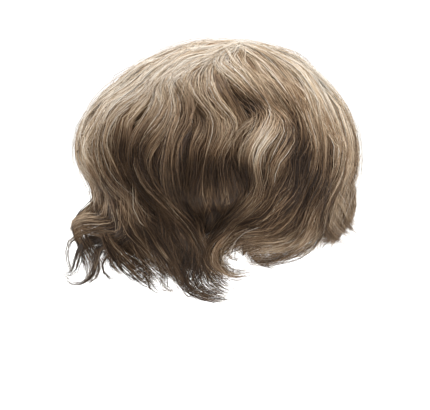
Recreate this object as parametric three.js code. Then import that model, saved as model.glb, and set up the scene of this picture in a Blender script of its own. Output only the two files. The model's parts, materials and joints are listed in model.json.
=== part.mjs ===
// A short waved toupee: a thin scalp base with the hair in sections that keep their worn form.
// Millimetres, +Z up. The wearer faces -Y and the wearer's left is +X.
// The origin is the inside top of the base, where the piece sits.
import * as THREE from 'three';

// Head size that the piece fits
const headLength = 194;
const headWidth = 154;
const crownHeight = 95; // from the top of the head down to its widest level

// Scalp base
const baseWall = 1.4;
const baseReachFront = 112; // along the scalp from the crown to each edge
const baseReachSide = 92;
const baseReachBack = 118;

// Hair
const hairDepth = 20; // how far the hair stands off the head
const hangLength = 94; // from the widest level down to the longest ends
const strandGroove = 4; // depth of the grooves between the strands of a section
const edgeGroove = 3; // how much lower a section is at its two edges
const endThickness = 2.4;
const endJag = 13; // how much the ends of a section differ in length
const waveHeight = 3.8; // crests of the wave above the mean surface
const wavePitch = 62; // from crest to crest along the hair
const curlReach = 13; // how far the forelock flips outwards
const curlFrom = 18; // below the widest level, where the flip begins
const curlTo = 40; // and where it is full
const whorlRelief = 1.6;

// Clearances
const baseGap = 0.8; // hair to base
const lockGap = 0.8; // section to section
const whorlGap = 0.6; // crown whorl to the roots round it

// A level runs from 0 at the crown through 0.5 at the widest section to 1 at the longest ends
const WIDEST_SHARE = 0.5;
const ROOT_SHARE = 0.085;
const ROW_SHARE = 0.038;
const END_ROWS = 5;
const BASE_RINGS = 7;
const BASE_SIDES = 24;
const WHORL_RINGS = 3;
const WHORL_SIDES = 24;
const WHORL_ARMS = 5;
const WHORL_TURNS = 4; // that an arm would make from the crown to the longest ends
const RISE_SHARE = 0.25; // level where waves and grooves reach their full height
const THINNING_SHARE = 0.8; // of a section's taper, where its ends thin out
const END_LIFT_SHARE = 0.45; // how far the thin ends lie towards the outer surface
const COLUMNS_PER_STRAND = 4;
const INNER_COLUMNS = 4;

// Stand-off of the hair, as shares of hairDepth
const STANDOFF = [
  { level: 0.00, front: 0.86, side: 0.86, back: 0.86 },
  { level: 0.09, front: 0.80, side: 0.84, back: 0.96 },
  { level: 0.16, front: 0.68, side: 0.84, back: 1.12 },
  { level: 0.25, front: 0.90, side: 0.90, back: 1.14 },
  { level: 0.33, front: 1.10, side: 0.95, back: 1.18 },
  { level: 0.40, front: 1.22, side: 0.97, back: 1.12 },
  { level: 0.46, front: 1.04, side: 0.98, back: 0.98 },
  { level: 0.52, front: 0.64, side: 0.96, back: 0.98 },
  { level: 0.62, front: 0.36, side: 0.92, back: 1.02 },
  { level: 0.72, front: 0.50, side: 0.86, back: 0.98 },
  { level: 0.84, front: 0.45, side: 0.78, back: 0.88 },
  { level: 1.00, front: 0.40, side: 0.66, back: 0.70 },
];

// The hanging hair below the widest level, as shares of half the head's length and width
const HANG = [
  { level: 0.50, front: 1.00, side: 1.00, back: 1.00 },
  { level: 0.62, front: 1.01, side: 0.99, back: 0.97 },
  { level: 0.74, front: 1.02, side: 0.96, back: 0.91 },
  { level: 0.87, front: 1.02, side: 0.91, back: 0.84 },
  { level: 1.00, front: 1.02, side: 0.86, back: 0.78 },
];

// Partings: the angle round the head, from 0 at the front through 90 on the left, at each level
const PARTING_LEVELS = [0.08, 0.15, 0.24, 0.33, 0.42, 0.50, 0.58, 0.68, 0.78, 0.90];
const PARTINGS = [
  { name: 'brow', angles: [14, 12, 10, 10, 10, 12, 14, 16, 16, 16] },
  { name: 'forelock', angles: [72, 56, 46, 38, 38, 42, 45, 47, 53, 66] },
  { name: 'cheek', angles: [94, 88, 76, 66, 62, 69, 76, 79, 80, 86] },
  { name: 'temple', angles: [106, 100, 93, 100, 96, 92, 92, 96, 101, 106] },
  { name: 'side', angles: [118, 113, 110, 123, 115, 118, 114, 107, 104, 108] },
  { name: 'ear', angles: [137, 134, 135, 139, 139, 130, 120, 110, 108, 113] },
  { name: 'sweep', angles: [160, 158, 156, 156, 157, 155, 151, 145, 136, 130] },
  { name: 'back', angles: [180, 178, 178, 175, 173, 171, 166, 170, 176, 178] },
  { name: 'nape', angles: [202, 200, 196, 192, 190, 192, 196, 194, 190, 188] },
  { name: 'right_back', angles: [222, 218, 212, 206, 206, 209, 213, 219, 226, 230] },
  { name: 'right_sweep', angles: [240, 238, 232, 226, 224, 231, 240, 247, 250, 246] },
  { name: 'right_ear', angles: [258, 256, 254, 242, 247, 245, 248, 252, 254, 250] },
  { name: 'right_side', angles: [272, 270, 268, 264, 267, 270, 269, 265, 259, 254] },
  { name: 'right_temple', angles: [290, 286, 288, 296, 299, 292, 285, 281, 278, 272] },
  { name: 'right_cheek', angles: [312, 316, 320, 325, 325, 321, 317, 313, 306, 292] },
  { name: 'right_fringe', angles: [338, 342, 345, 348, 348, 346, 344, 341, 338, 334] },
];

// Sections: each lies between its parting and the next one. tip is the level of its longest end, slant
// how much shorter it is at its own parting, taper the length over which it narrows, lean where it
// narrows to (0 its own parting, 1 the next), end its width there, turn the degrees that its end
// swings, flip its outward curl as a share of curlReach, and crest the level of a wave crest
const SECTIONS = [
  { node: 'forelock_curl', strands: 3, tip: 0.93, slant: -0.04, taper: 0.24, lean: 0.55, end: 0.58,
    turn: 10, flip: 1.0, crest: 0.40, colour: 0x7a6450 },
  { node: 'left_cheek_lock', strands: 3, tip: 0.95, slant: 0.07, taper: 0.18, lean: 0.60, end: 0.80,
    turn: 4, flip: 0.10, crest: 0.36, colour: 0x74604c },
  { node: 'left_temple_lock', strands: 2, tip: 0.95, slant: -0.02, taper: 0.18, lean: 0.50, end: 0.70,
    turn: 3, flip: 0.05, crest: 0.43, colour: 0x6c5845 },
  { node: 'left_side_wave', strands: 2, tip: 0.78, slant: -0.05, taper: 0.12, lean: 0.45, end: 0.60,
    turn: -3, flip: -0.08, crest: 0.48, colour: 0x66523f },
  { node: 'left_ear_wave', strands: 2, tip: 0.68, slant: -0.02, taper: 0.12, lean: 0.45, end: 0.60,
    turn: -3, flip: -0.08, crest: 0.39, colour: 0x6e5a46 },
  { node: 'left_ear_sweep', strands: 2, tip: 0.92, slant: -0.08, taper: 0.22, lean: 0.30, end: 0.55,
    turn: 8, flip: 0.12, crest: 0.50, colour: 0x7c6650 },
  { node: 'left_back_wave', strands: 2, tip: 0.80, slant: 0.00, taper: 0.16, lean: 0.40, end: 0.60,
    turn: 4, flip: 0.05, crest: 0.43, colour: 0x6c5845 },
  { node: 'nape_lock', strands: 2, tip: 0.78, slant: 0.00, taper: 0.14, lean: 0.50, end: 0.60,
    turn: 5, flip: 0.20, crest: 0.36, colour: 0x685442 },
  { node: 'right_back_wave', strands: 2, tip: 0.80, slant: 0.01, taper: 0.16, lean: 0.55, end: 0.60,
    turn: -4, flip: 0.10, crest: 0.42, colour: 0x6c5845 },
  { node: 'right_ear_sweep', strands: 2, tip: 0.90, slant: 0.07, taper: 0.22, lean: 0.70, end: 0.55,
    turn: -8, flip: 0.12, crest: 0.47, colour: 0x7a6450 },
  { node: 'right_ear_wave', strands: 2, tip: 0.70, slant: 0.02, taper: 0.12, lean: 0.55, end: 0.60,
    turn: 3, flip: -0.08, crest: 0.37, colour: 0x6e5a46 },
  { node: 'right_side_wave', strands: 2, tip: 0.79, slant: 0.05, taper: 0.12, lean: 0.55, end: 0.60,
    turn: 3, flip: -0.08, crest: 0.46, colour: 0x66523f },
  { node: 'right_temple_lock', strands: 2, tip: 0.93, slant: 0.02, taper: 0.18, lean: 0.50, end: 0.70,
    turn: -3, flip: 0.05, crest: 0.40, colour: 0x6c5845 },
  { node: 'right_cheek_lock', strands: 3, tip: 0.91, slant: -0.10, taper: 0.20, lean: 0.30, end: 0.74,
    turn: -4, flip: 0.10, crest: 0.45, colour: 0x74604c },
  { node: 'right_fringe', strands: 2, tip: 0.82, slant: 0.03, taper: 0.20, lean: 0.45, end: 0.55,
    turn: -6, flip: 0.45, crest: 0.38, colour: 0x74604c },
  { node: 'brow_fringe', strands: 2, tip: 0.76, slant: -0.03, taper: 0.18, lean: 0.55, end: 0.55,
    turn: 6, flip: 0.40, crest: 0.43, colour: 0x78624e },
];

// Hollows and crests of the waved surface: width and height are half sizes in degrees and in levels,
// and rise is a share of hairDepth, below zero for a hollow
const DENTS = [
  { angle: 98, level: 0.33, width: 7, height: 0.050, rise: -0.30 },
  { angle: 121, level: 0.32, width: 8, height: 0.045, rise: -0.26 },
  { angle: 106, level: 0.46, width: 13, height: 0.050, rise: -0.36 },
  { angle: 104, level: 0.63, width: 13, height: 0.055, rise: -0.40 },
  { angle: 139, level: 0.44, width: 5, height: 0.130, rise: -0.26 },
  { angle: 124, level: 0.42, width: 8, height: 0.070, rise: 0.22 },
  { angle: 104, level: 0.54, width: 11, height: 0.030, rise: 0.18 },
  { angle: 147, level: 0.63, width: 6, height: 0.080, rise: 0.18 },
  { angle: 120, level: 0.71, width: 12, height: 0.045, rise: 0.24 },
  { angle: 136, level: 0.17, width: 14, height: 0.040, rise: -0.12 },
  { angle: 70, level: 0.52, width: 12, height: 0.050, rise: -0.18 },
  { angle: 44, level: 0.56, width: 9, height: 0.050, rise: -0.16 },
  { angle: 236, level: 0.45, width: 12, height: 0.060, rise: -0.28 },
  { angle: 262, level: 0.34, width: 9, height: 0.050, rise: -0.26 },
  { angle: 252, level: 0.61, width: 12, height: 0.055, rise: -0.34 },
  { angle: 284, level: 0.50, width: 10, height: 0.060, rise: -0.20 },
  { angle: 244, level: 0.71, width: 12, height: 0.045, rise: 0.20 },
];

const radians = THREE.MathUtils.degToRad;
const mix = THREE.MathUtils.lerp;
const smooth = THREE.MathUtils.smoothstep;

// Value of a table's column at a level, along a smooth curve through its rows
function along(levels, values, level) {
  const last = levels.length - 1;
  let i = 0;
  while (i < last - 1 && level > levels[i + 1]) i += 1;
  const t = THREE.MathUtils.clamp((level - levels[i]) / (levels[i + 1] - levels[i]), 0, 1);
  const slope = (k) => {
    const a = Math.max(k - 1, 0);
    const b = Math.min(k + 1, last);
    return (values[b] - values[a]) / (levels[b] - levels[a]);
  };
  const span = levels[i + 1] - levels[i];
  const h = t * t * (3 - 2 * t);
  const rise = slope(i) * t * (1 - t) * (1 - t) - slope(i + 1) * t * t * (1 - t);
  return mix(values[i], values[i + 1], h) + span * rise;
}

// Front, side and back columns of a table blended round the head
function around(table, level, angle) {
  const levels = table.map((row) => row.level);
  const column = (name) => along(levels, table.map((row) => row[name]), level);
  const facing = Math.cos(angle);
  const end = column(facing > 0 ? 'front' : 'back');
  return mix(column('side'), end, facing * facing);
}

// Centre of the head form, and the point of its surface at a level and angle
const centre = new THREE.Vector3(0, 0, -crownHeight);
function headOffset(level, angle) {
  const polar = Math.PI * Math.min(level, WIDEST_SHARE);
  const hang = level > WIDEST_SHARE ? around(HANG, level, angle) : 1;
  const drop = hangLength * Math.max(level - WIDEST_SHARE, 0) / (1 - WIDEST_SHARE);
  return {
    out: new THREE.Vector3(
      0.5 * headWidth * Math.sin(polar) * Math.sin(angle) * hang,
      -0.5 * headLength * Math.sin(polar) * Math.cos(angle) * hang,
      crownHeight * Math.cos(polar),
    ),
    drop,
  };
}

// A point that stands off the head by a distance: from the centre above the widest level,
// and level with it below
function standing(level, angle, distance) {
  const { out, drop } = headOffset(level, angle);
  const reach = 1 + distance / out.length();
  return out.multiplyScalar(reach).add(centre).setZ(out.z - drop);
}

// Shortest way round from one angle to another, in degrees
function turnBetween(a, b) {
  return ((b - a + 540) % 360) - 180;
}

// Stand-off of the hair's outer surface before a section's own grooves
function hairStandoff(level, degrees) {
  let share = around(STANDOFF, level, radians(degrees));
  for (const dent of DENTS) {
    const x = turnBetween(dent.angle, degrees) / dent.width;
    const y = (level - dent.level) / dent.height;
    share += dent.rise * Math.exp(-(x * x + y * y));
  }
  return hairDepth * share;
}

// Angle of a parting at a level
function partingAngle(index, level) {
  const turns = Math.floor(index / PARTINGS.length);
  const { angles } = PARTINGS[index % PARTINGS.length];
  return along(PARTING_LEVELS, angles, level) + 360 * turns;
}

// Length of a level step along the hair, for waves that keep their pitch
const scalpArc = 0.5 * Math.PI * (0.5 * crownHeight + 0.25 * headLength);
function lengthAt(level) {
  const overScalp = scalpArc * Math.min(level, WIDEST_SHARE);
  const hanging = hangLength * Math.max(level - WIDEST_SHARE, 0);
  return (overScalp + hanging) / WIDEST_SHARE;
}

// Triangles that close a section's ring, zipping its outer points to its inner ones
function zipCap(outerCount, count) {
  const triangles = [];
  let outer = 0;
  let inner = count - 1;
  const outerLast = outerCount - 1;
  const innerLast = outerCount;
  while (outer < outerLast || inner > innerLast) {
    const outerShare = outer / outerLast;
    const innerShare = (count - 1 - inner) / (count - 1 - innerLast);
    if (inner === innerLast || (outer < outerLast && outerShare <= innerShare)) {
      triangles.push([outer, outer + 1, inner]);
      outer += 1;
    } else {
      triangles.push([outer, inner - 1, inner]);
      inner -= 1;
    }
  }
  return triangles;
}

// One closed body from rings of points, with the ring's outer side first
function loftRings(rings, outerCount) {
  const count = rings[0].length;
  const positions = rings.flat().flatMap((p) => [p.x, p.y, p.z]);
  const indices = [];
  for (let j = 0; j + 1 < rings.length; j += 1) {
    for (let i = 0; i < count; i += 1) {
      const next = (i + 1) % count;
      const a = j * count + i;
      const b = j * count + next;
      const c = a + count;
      const d = b + count;
      if (i === count - 1) indices.push(a, c, b, b, c, d);
      else indices.push(a, d, b, a, c, d);
    }
  }
  const lastStart = (rings.length - 1) * count;
  for (const [a, b, c] of zipCap(outerCount, count)) {
    indices.push(a, b, c);
    indices.push(lastStart + c, lastStart + b, lastStart + a);
  }
  const geometry = new THREE.BufferGeometry();
  geometry.setAttribute('position', new THREE.Float32BufferAttribute(positions, 3));
  geometry.setIndex(indices);
  geometry.computeVertexNormals();
  return geometry;
}

// Levels of a section's rows: even rows down to where its ends begin, then the end rows
function sectionRows(section) {
  const jag = endJag / hangLength * (1 - WIDEST_SHARE);
  const endsFrom = section.tip - jag - ROW_SHARE;
  const rows = [];
  for (let level = ROOT_SHARE; level < endsFrom; level += ROW_SHARE) rows.push({ level, end: 0 });
  const from = rows[rows.length - 1].level;
  for (let k = 1; k <= END_ROWS; k += 1) rows.push({ level: from, end: k / END_ROWS });
  return { rows, jag };
}

// How far the hair stands off at a section's share u of its width, before the ends thin out
function sectionTop(section, level, angle, groove, u) {
  const rising = smooth(level, ROOT_SHARE, RISE_SHARE);
  const phase = 2 * Math.PI * (lengthAt(level) - lengthAt(section.crest)) / wavePitch;
  const wave = waveHeight * Math.cos(phase) * rising;
  const edge = edgeGroove * (2 * u - 1) ** 4;
  return hairStandoff(level, angle) + wave - edge - strandGroove * groove * rising;
}

function sectionGeometry(section, index) {
  const columns = section.strands * COLUMNS_PER_STRAND;
  const { rows, jag } = sectionRows(section);
  const inside = baseWall + baseGap;

  const point = (row, u, outer) => {
    const groove = 0.5 + 0.5 * Math.cos(2 * Math.PI * section.strands * u);
    const shorter = Math.abs(section.slant) * (section.slant > 0 ? 1 - u : u);
    const level = mix(row.level, section.tip - jag * groove - shorter, row.end);

    const taper = smooth(level, section.tip - section.taper, section.tip);
    const place = section.lean + (u - section.lean) * mix(1, section.end, taper);
    const swing = section.turn * taper * taper * (0.5 - Math.abs(place - 0.5));
    const middle = mix(partingAngle(index, level), partingAngle(index + 1, level), place) + swing;
    const { out, drop } = headOffset(level, radians(middle));
    const inset = THREE.MathUtils.radToDeg(0.5 * lockGap / Math.hypot(out.x, out.y));
    const angle = middle + inset * (1 - 2 * u);

    const thinning = smooth(level, section.tip - THINNING_SHARE * section.taper, section.tip);
    const top = Math.max(sectionTop(section, level, angle, groove, u), inside + endThickness);
    const thickness = mix(top - inside, endThickness, thinning);
    const lift = END_LIFT_SHARE * (top - inside - thickness);
    const curl = curlReach * section.flip * smooth(drop, curlFrom, curlTo);
    return standing(level, radians(angle), inside + lift + curl + (outer ? thickness : 0));
  };

  const rings = rows.map((row) => {
    const ring = [];
    for (let i = 0; i <= columns; i += 1) ring.push(point(row, i / columns, true));
    for (let i = INNER_COLUMNS; i >= 0; i -= 1) ring.push(point(row, i / INNER_COLUMNS, false));
    return ring;
  });
  return loftRings(rings, columns + 1);
}

// One closed dome wall between an outer and an inner surface, both with a point at the crown
function domeGeometry(rings, sides, surface) {
  const positions = [];
  const indices = [];
  const start = { true: 0, false: 1 + rings * sides };
  for (const outer of [true, false]) {
    const top = surface(0, 0, outer);
    positions.push(top.x, top.y, top.z);
    for (let j = 1; j <= rings; j += 1) {
      for (let i = 0; i < sides; i += 1) {
        const p = surface(j / rings, 2 * Math.PI * i / sides, outer);
        positions.push(p.x, p.y, p.z);
      }
    }
  }
  const at = (outer, j, i) => start[outer] + 1 + (j - 1) * sides + (i % sides);
  for (let i = 0; i < sides; i += 1) {
    indices.push(start.true, at(true, 1, i), at(true, 1, i + 1));
    indices.push(start.false, at(false, 1, i + 1), at(false, 1, i));
    for (let j = 1; j < rings; j += 1) {
      indices.push(at(true, j, i), at(true, j + 1, i), at(true, j + 1, i + 1));
      indices.push(at(true, j, i), at(true, j + 1, i + 1), at(true, j, i + 1));
      indices.push(at(false, j, i), at(false, j + 1, i + 1), at(false, j + 1, i));
      indices.push(at(false, j, i), at(false, j, i + 1), at(false, j + 1, i + 1));
    }
    indices.push(at(true, rings, i), at(false, rings, i), at(false, rings, i + 1));
    indices.push(at(true, rings, i), at(false, rings, i + 1), at(true, rings, i + 1));
  }
  const geometry = new THREE.BufferGeometry();
  geometry.setAttribute('position', new THREE.Float32BufferAttribute(positions, 3));
  geometry.setIndex(indices);
  geometry.computeVertexNormals();
  return geometry;
}

// The base ends at its own reach along the scalp in front, at the sides and behind
function baseGeometry() {
  const toLevel = (reach, half) => reach / (0.5 * Math.PI * 0.5 * (crownHeight + half)) * WIDEST_SHARE;
  const front = toLevel(baseReachFront, 0.5 * headLength);
  const side = toLevel(baseReachSide, 0.5 * headWidth);
  const back = toLevel(baseReachBack, 0.5 * headLength);
  return domeGeometry(BASE_RINGS, BASE_SIDES, (share, angle, outer) => {
    const facing = Math.cos(angle);
    const edge = mix(side, facing > 0 ? front : back, facing * facing);
    return standing(share * edge, angle, outer ? baseWall : 0);
  });
}

// The whorl fills the ring of roots, with arms that turn round the crown
function whorlGeometry() {
  const rim = ROOT_SHARE - whorlGap / (Math.PI * crownHeight);
  const inside = baseWall + baseGap;
  return domeGeometry(WHORL_RINGS, WHORL_SIDES, (share, angle, outer) => {
    const level = share * rim;
    const arms = Math.cos(WHORL_ARMS * angle - 2 * Math.PI * WHORL_TURNS * level);
    const relief = whorlRelief * share * (arms - 1);
    const top = hairStandoff(level, THREE.MathUtils.radToDeg(angle)) + relief;
    return standing(level, angle, outer ? top : inside);
  });
}

function mesh(name, geometry, colour, roughness) {
  const material = new THREE.MeshStandardMaterial({ color: colour, roughness, metalness: 0 });
  const piece = new THREE.Mesh(geometry, material);
  piece.name = name;
  return piece;
}

const toupee = new THREE.Group();
toupee.add(mesh('base', baseGeometry(), 0xcdb9a2, 0.75));
toupee.add(mesh('crown_whorl', whorlGeometry(), 0x8a7a69, 0.5));
SECTIONS.forEach((section, index) => {
  toupee.add(mesh(section.node, sectionGeometry(section, index), section.colour, 0.45));
});

export default toupee;
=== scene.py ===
import json
import math

import bpy
import numpy as np
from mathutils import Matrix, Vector
from mathutils.bvhtree import BVHTree

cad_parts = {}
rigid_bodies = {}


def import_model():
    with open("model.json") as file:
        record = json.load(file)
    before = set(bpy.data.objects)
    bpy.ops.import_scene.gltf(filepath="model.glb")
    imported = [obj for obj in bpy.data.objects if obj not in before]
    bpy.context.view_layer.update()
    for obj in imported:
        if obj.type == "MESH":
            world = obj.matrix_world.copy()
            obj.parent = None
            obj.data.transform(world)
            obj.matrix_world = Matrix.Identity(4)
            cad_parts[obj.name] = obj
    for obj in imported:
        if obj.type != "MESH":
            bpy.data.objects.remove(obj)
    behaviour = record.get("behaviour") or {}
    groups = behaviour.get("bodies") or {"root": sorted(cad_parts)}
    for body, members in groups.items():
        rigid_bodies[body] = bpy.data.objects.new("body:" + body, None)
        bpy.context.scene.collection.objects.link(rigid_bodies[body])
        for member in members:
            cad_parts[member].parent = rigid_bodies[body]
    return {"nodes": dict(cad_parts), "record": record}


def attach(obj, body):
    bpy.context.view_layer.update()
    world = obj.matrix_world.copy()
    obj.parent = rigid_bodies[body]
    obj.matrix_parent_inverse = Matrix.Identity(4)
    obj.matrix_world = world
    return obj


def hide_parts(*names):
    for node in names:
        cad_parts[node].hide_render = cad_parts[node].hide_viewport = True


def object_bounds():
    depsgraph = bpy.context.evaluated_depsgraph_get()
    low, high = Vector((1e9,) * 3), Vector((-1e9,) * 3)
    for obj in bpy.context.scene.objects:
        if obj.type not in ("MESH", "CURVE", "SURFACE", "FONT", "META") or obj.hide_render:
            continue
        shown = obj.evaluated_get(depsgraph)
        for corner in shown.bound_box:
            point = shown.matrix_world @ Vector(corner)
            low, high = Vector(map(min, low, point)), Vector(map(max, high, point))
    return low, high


bl_info = {
    "name": "Waved Toupee",
    "version": (1, 0, 0),
    "blender": (4, 5, 0),
    "location": "3D View > Sidebar > Toupee",
    "description": "Dresses a toupee's solid sections with flowing strands of hair",
    "category": "Object",
}

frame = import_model()
CAD_LOW, CAD_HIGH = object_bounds()
NODES = frame["nodes"]
SLOT_OF = {part["node"]: part["material_slot"] for part in frame["record"]["subparts"]}
WHORL = "crown_whorl"
BASE = "base"
SECTIONS = [name for name in NODES if name not in (WHORL, BASE)]
MM = 0.001
WIDEST = 0.5  # level of the widest section

# The hair is lighter on top and darker low down: partly its greyed strands, partly painted light from above
# and painted shade below. Heights in metres and change of tint
LIGHTER_UP = ((-0.13, -0.09, -0.05, 0.0), (-0.26, -0.25, 0.01, 0.23))

# Sections whose even coat ends above their solid's tip, by this much of the level
TRIMMED = {side + "_ear_sweep": 0.09 for side in ("left", "right")}

# Packed hair that reaches further down than its neighbours', to back the hollows above the hem
LONGER_MASS = {side + lock: change for side in ("left", "right") for lock, change in (
    ("_ear_wave", 0.20), ("_side_wave", 0.08), ("_ear_sweep", 0.045))}
LONGER_MASS["forelock_curl"] = -0.08

# Even coat's strands for each of its area, where no tresses lie over it
DENSER_COAT = {"brow_fringe": 2.4, "right_fringe": 1.6, "nape_lock": 2.2, "right_back_wave": 2.2,
               "left_back_wave": 1.4}

LACE_CELL = 1.2 * MM
TRESS_STEP_MM = 4  # between the points of a tress's middle line
LONG_TRESS = 0.12  # metres: a longer one starts at the crown
HOOK_WIDE = 3  # mm: narrower tresses are the fine hooked wisps, which keep their ends
COAT_STRAYS, TRESS_STRAYS = 0.08, 0.07  # shares of the guide strands that stand off the others
FAN = 0.72  # least width of a lock near its end, as a share of its width at the widest level
PLACE_DEPTH = 45 * MM  # how far behind its middle a hollow or crest is felt
OTHER_SIDE = 0.8  # strength of the hollows and crests on the side that the view hides
FRIZZ_WAVE = 34 * MM
TINT_SPREAD, GREY_STRANDS, GREYING = 0.26, 0.06, 0.28
FLOOR_HALF, FLOOR_DROP = 6.0, 0.25
LIGHT_AIM, WORLD_LIGHT = Vector((0, 0, -0.08)), 1.15

# Photograph's frame, and where the piece sits in it
IMAGE_WIDTH_PX = 430
IMAGE_HEIGHT_PX = 410
IMAGE_MM_PER_PX = 0.82
SENSOR_MM = 36.0
VIEW_AZIMUTH, VIEW_ELEVATION, VIEW_DISTANCE = math.radians(108), math.radians(7), 1.1
CROWN_PX = (238, 42)  # where the hair starts
VIEW_TARGET = Vector((0, 0, -0.118))
FREE_FRONT = -0.07  # in front of this the forelock stands free of the hair below
FAR_SIDE = 0.02  # a ray that meets the piece this far behind its middle has passed under the hem

# Hollows and crests of the waves, by the pixel of their middle: half length and half width in
# pixels, turn in degrees clockwise, change of tint, and how far the hair sinks there in mm. The change
# of tint is painted light: painted shade darkens the hollows, painted highlight lightens the crests and lit
# rims
PLACES = [dict(zip(("x", "y", "long", "wide", "turn", "tint", "sink"), row)) for row in (
    (217, 220, 24, 9, -12, -0.75, 6.0),
    (222, 173, 28, 15, 10, -0.60, 3.0),
    (201, 113, 13, 5, 62, -0.34, 2.0),
    (250, 102, 24, 11, 38, -0.58, 2.5),
    (302, 164, 46, 10, 80, -0.66, 2.5),
    (320, 205, 30, 7, 88, -0.36, 1.5),
    (333, 160, 16, 5, 80, -0.17, 1.0),
    (120, 150, 22, 6, 100, -0.42, 1.5),
    (140, 148, 22, 6, 105, -0.46, 1.5),
    (160, 150, 16, 7, 100, -0.20, 1.0),
    (185, 170, 55, 6, 88, -0.22, 1.0),
    (150, 212, 34, 5, 46, -0.42, 2.0),
    (160, 236, 18, 12, 40, -0.25, 1.0),
    (116, 222, 16, 5, 30, -0.31, 1.0),
    (190, 272, 20, 8, 88, -0.22, 0.0),
    (92, 246, 10, 8, 0, -0.25, 0.0),
    (247, 57, 13, 5, 48, -0.20, 0.0),
    (262, 146, 28, 17, 112, 0.16, 0.0),
    (225, 198, 15, 8, 0, 0.18, 0.0),
    (313, 216, 24, 7, 96, 0.42, -0.5),
    (278, 245, 34, 7, -10, 0.30, 0.0),
    (322, 92, 40, 14, 56, 0.18, 0.0),
    (346, 168, 34, 10, 84, 0.24, 0.0),
    (206, 45, 22, 5, -4, 0.31, 0.0),
    (146, 80, 36, 16, -35, 0.22, 0.0),
    (98, 122, 28, 9, 125, 0.12, 0.0),
    (345, 206, 22, 13, 72, 0.14, 0.6),
    (154, 256, 14, 8, 45, 0.12, 0.0),
    (194, 60, 44, 14, -15, 0.16, 0.0),
    (112, 98, 22, 9, -45, 0.14, 0.0),
    (86, 203, 12, 7, 75, 0.15, 14.0),
    (85, 164, 46, 8, 90, 0.46, 0.0),
    (316, 72, 26, 9, 42, 0.08, 0.0),
    (120, 94, 26, 10, -45, 0.20, 0.0),
    (104, 100, 30, 14, -52, 0.08, 0.0),
    (150, 105, 20, 10, -38, 0.24, 0.0),
    (130, 125, 16, 9, -55, 0.18, 0.0),
    (270, 123, 9, 7, 0, -0.16, 0.0),
    (246, 44, 22, 7, 4, 0.22, 0.0),
    (242, 182, 12, 12, 0, -0.14, 0.0),
    (184, 72, 16, 10, 0, 0.12, 0.0),
    (245, 182, 14, 9, 90, -0.40, 1.5),
    (330, 222, 18, 12, 60, 0.12, 0.6),
    (148, 176, 30, 12, 60, -0.16, 0.0),
)]

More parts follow.
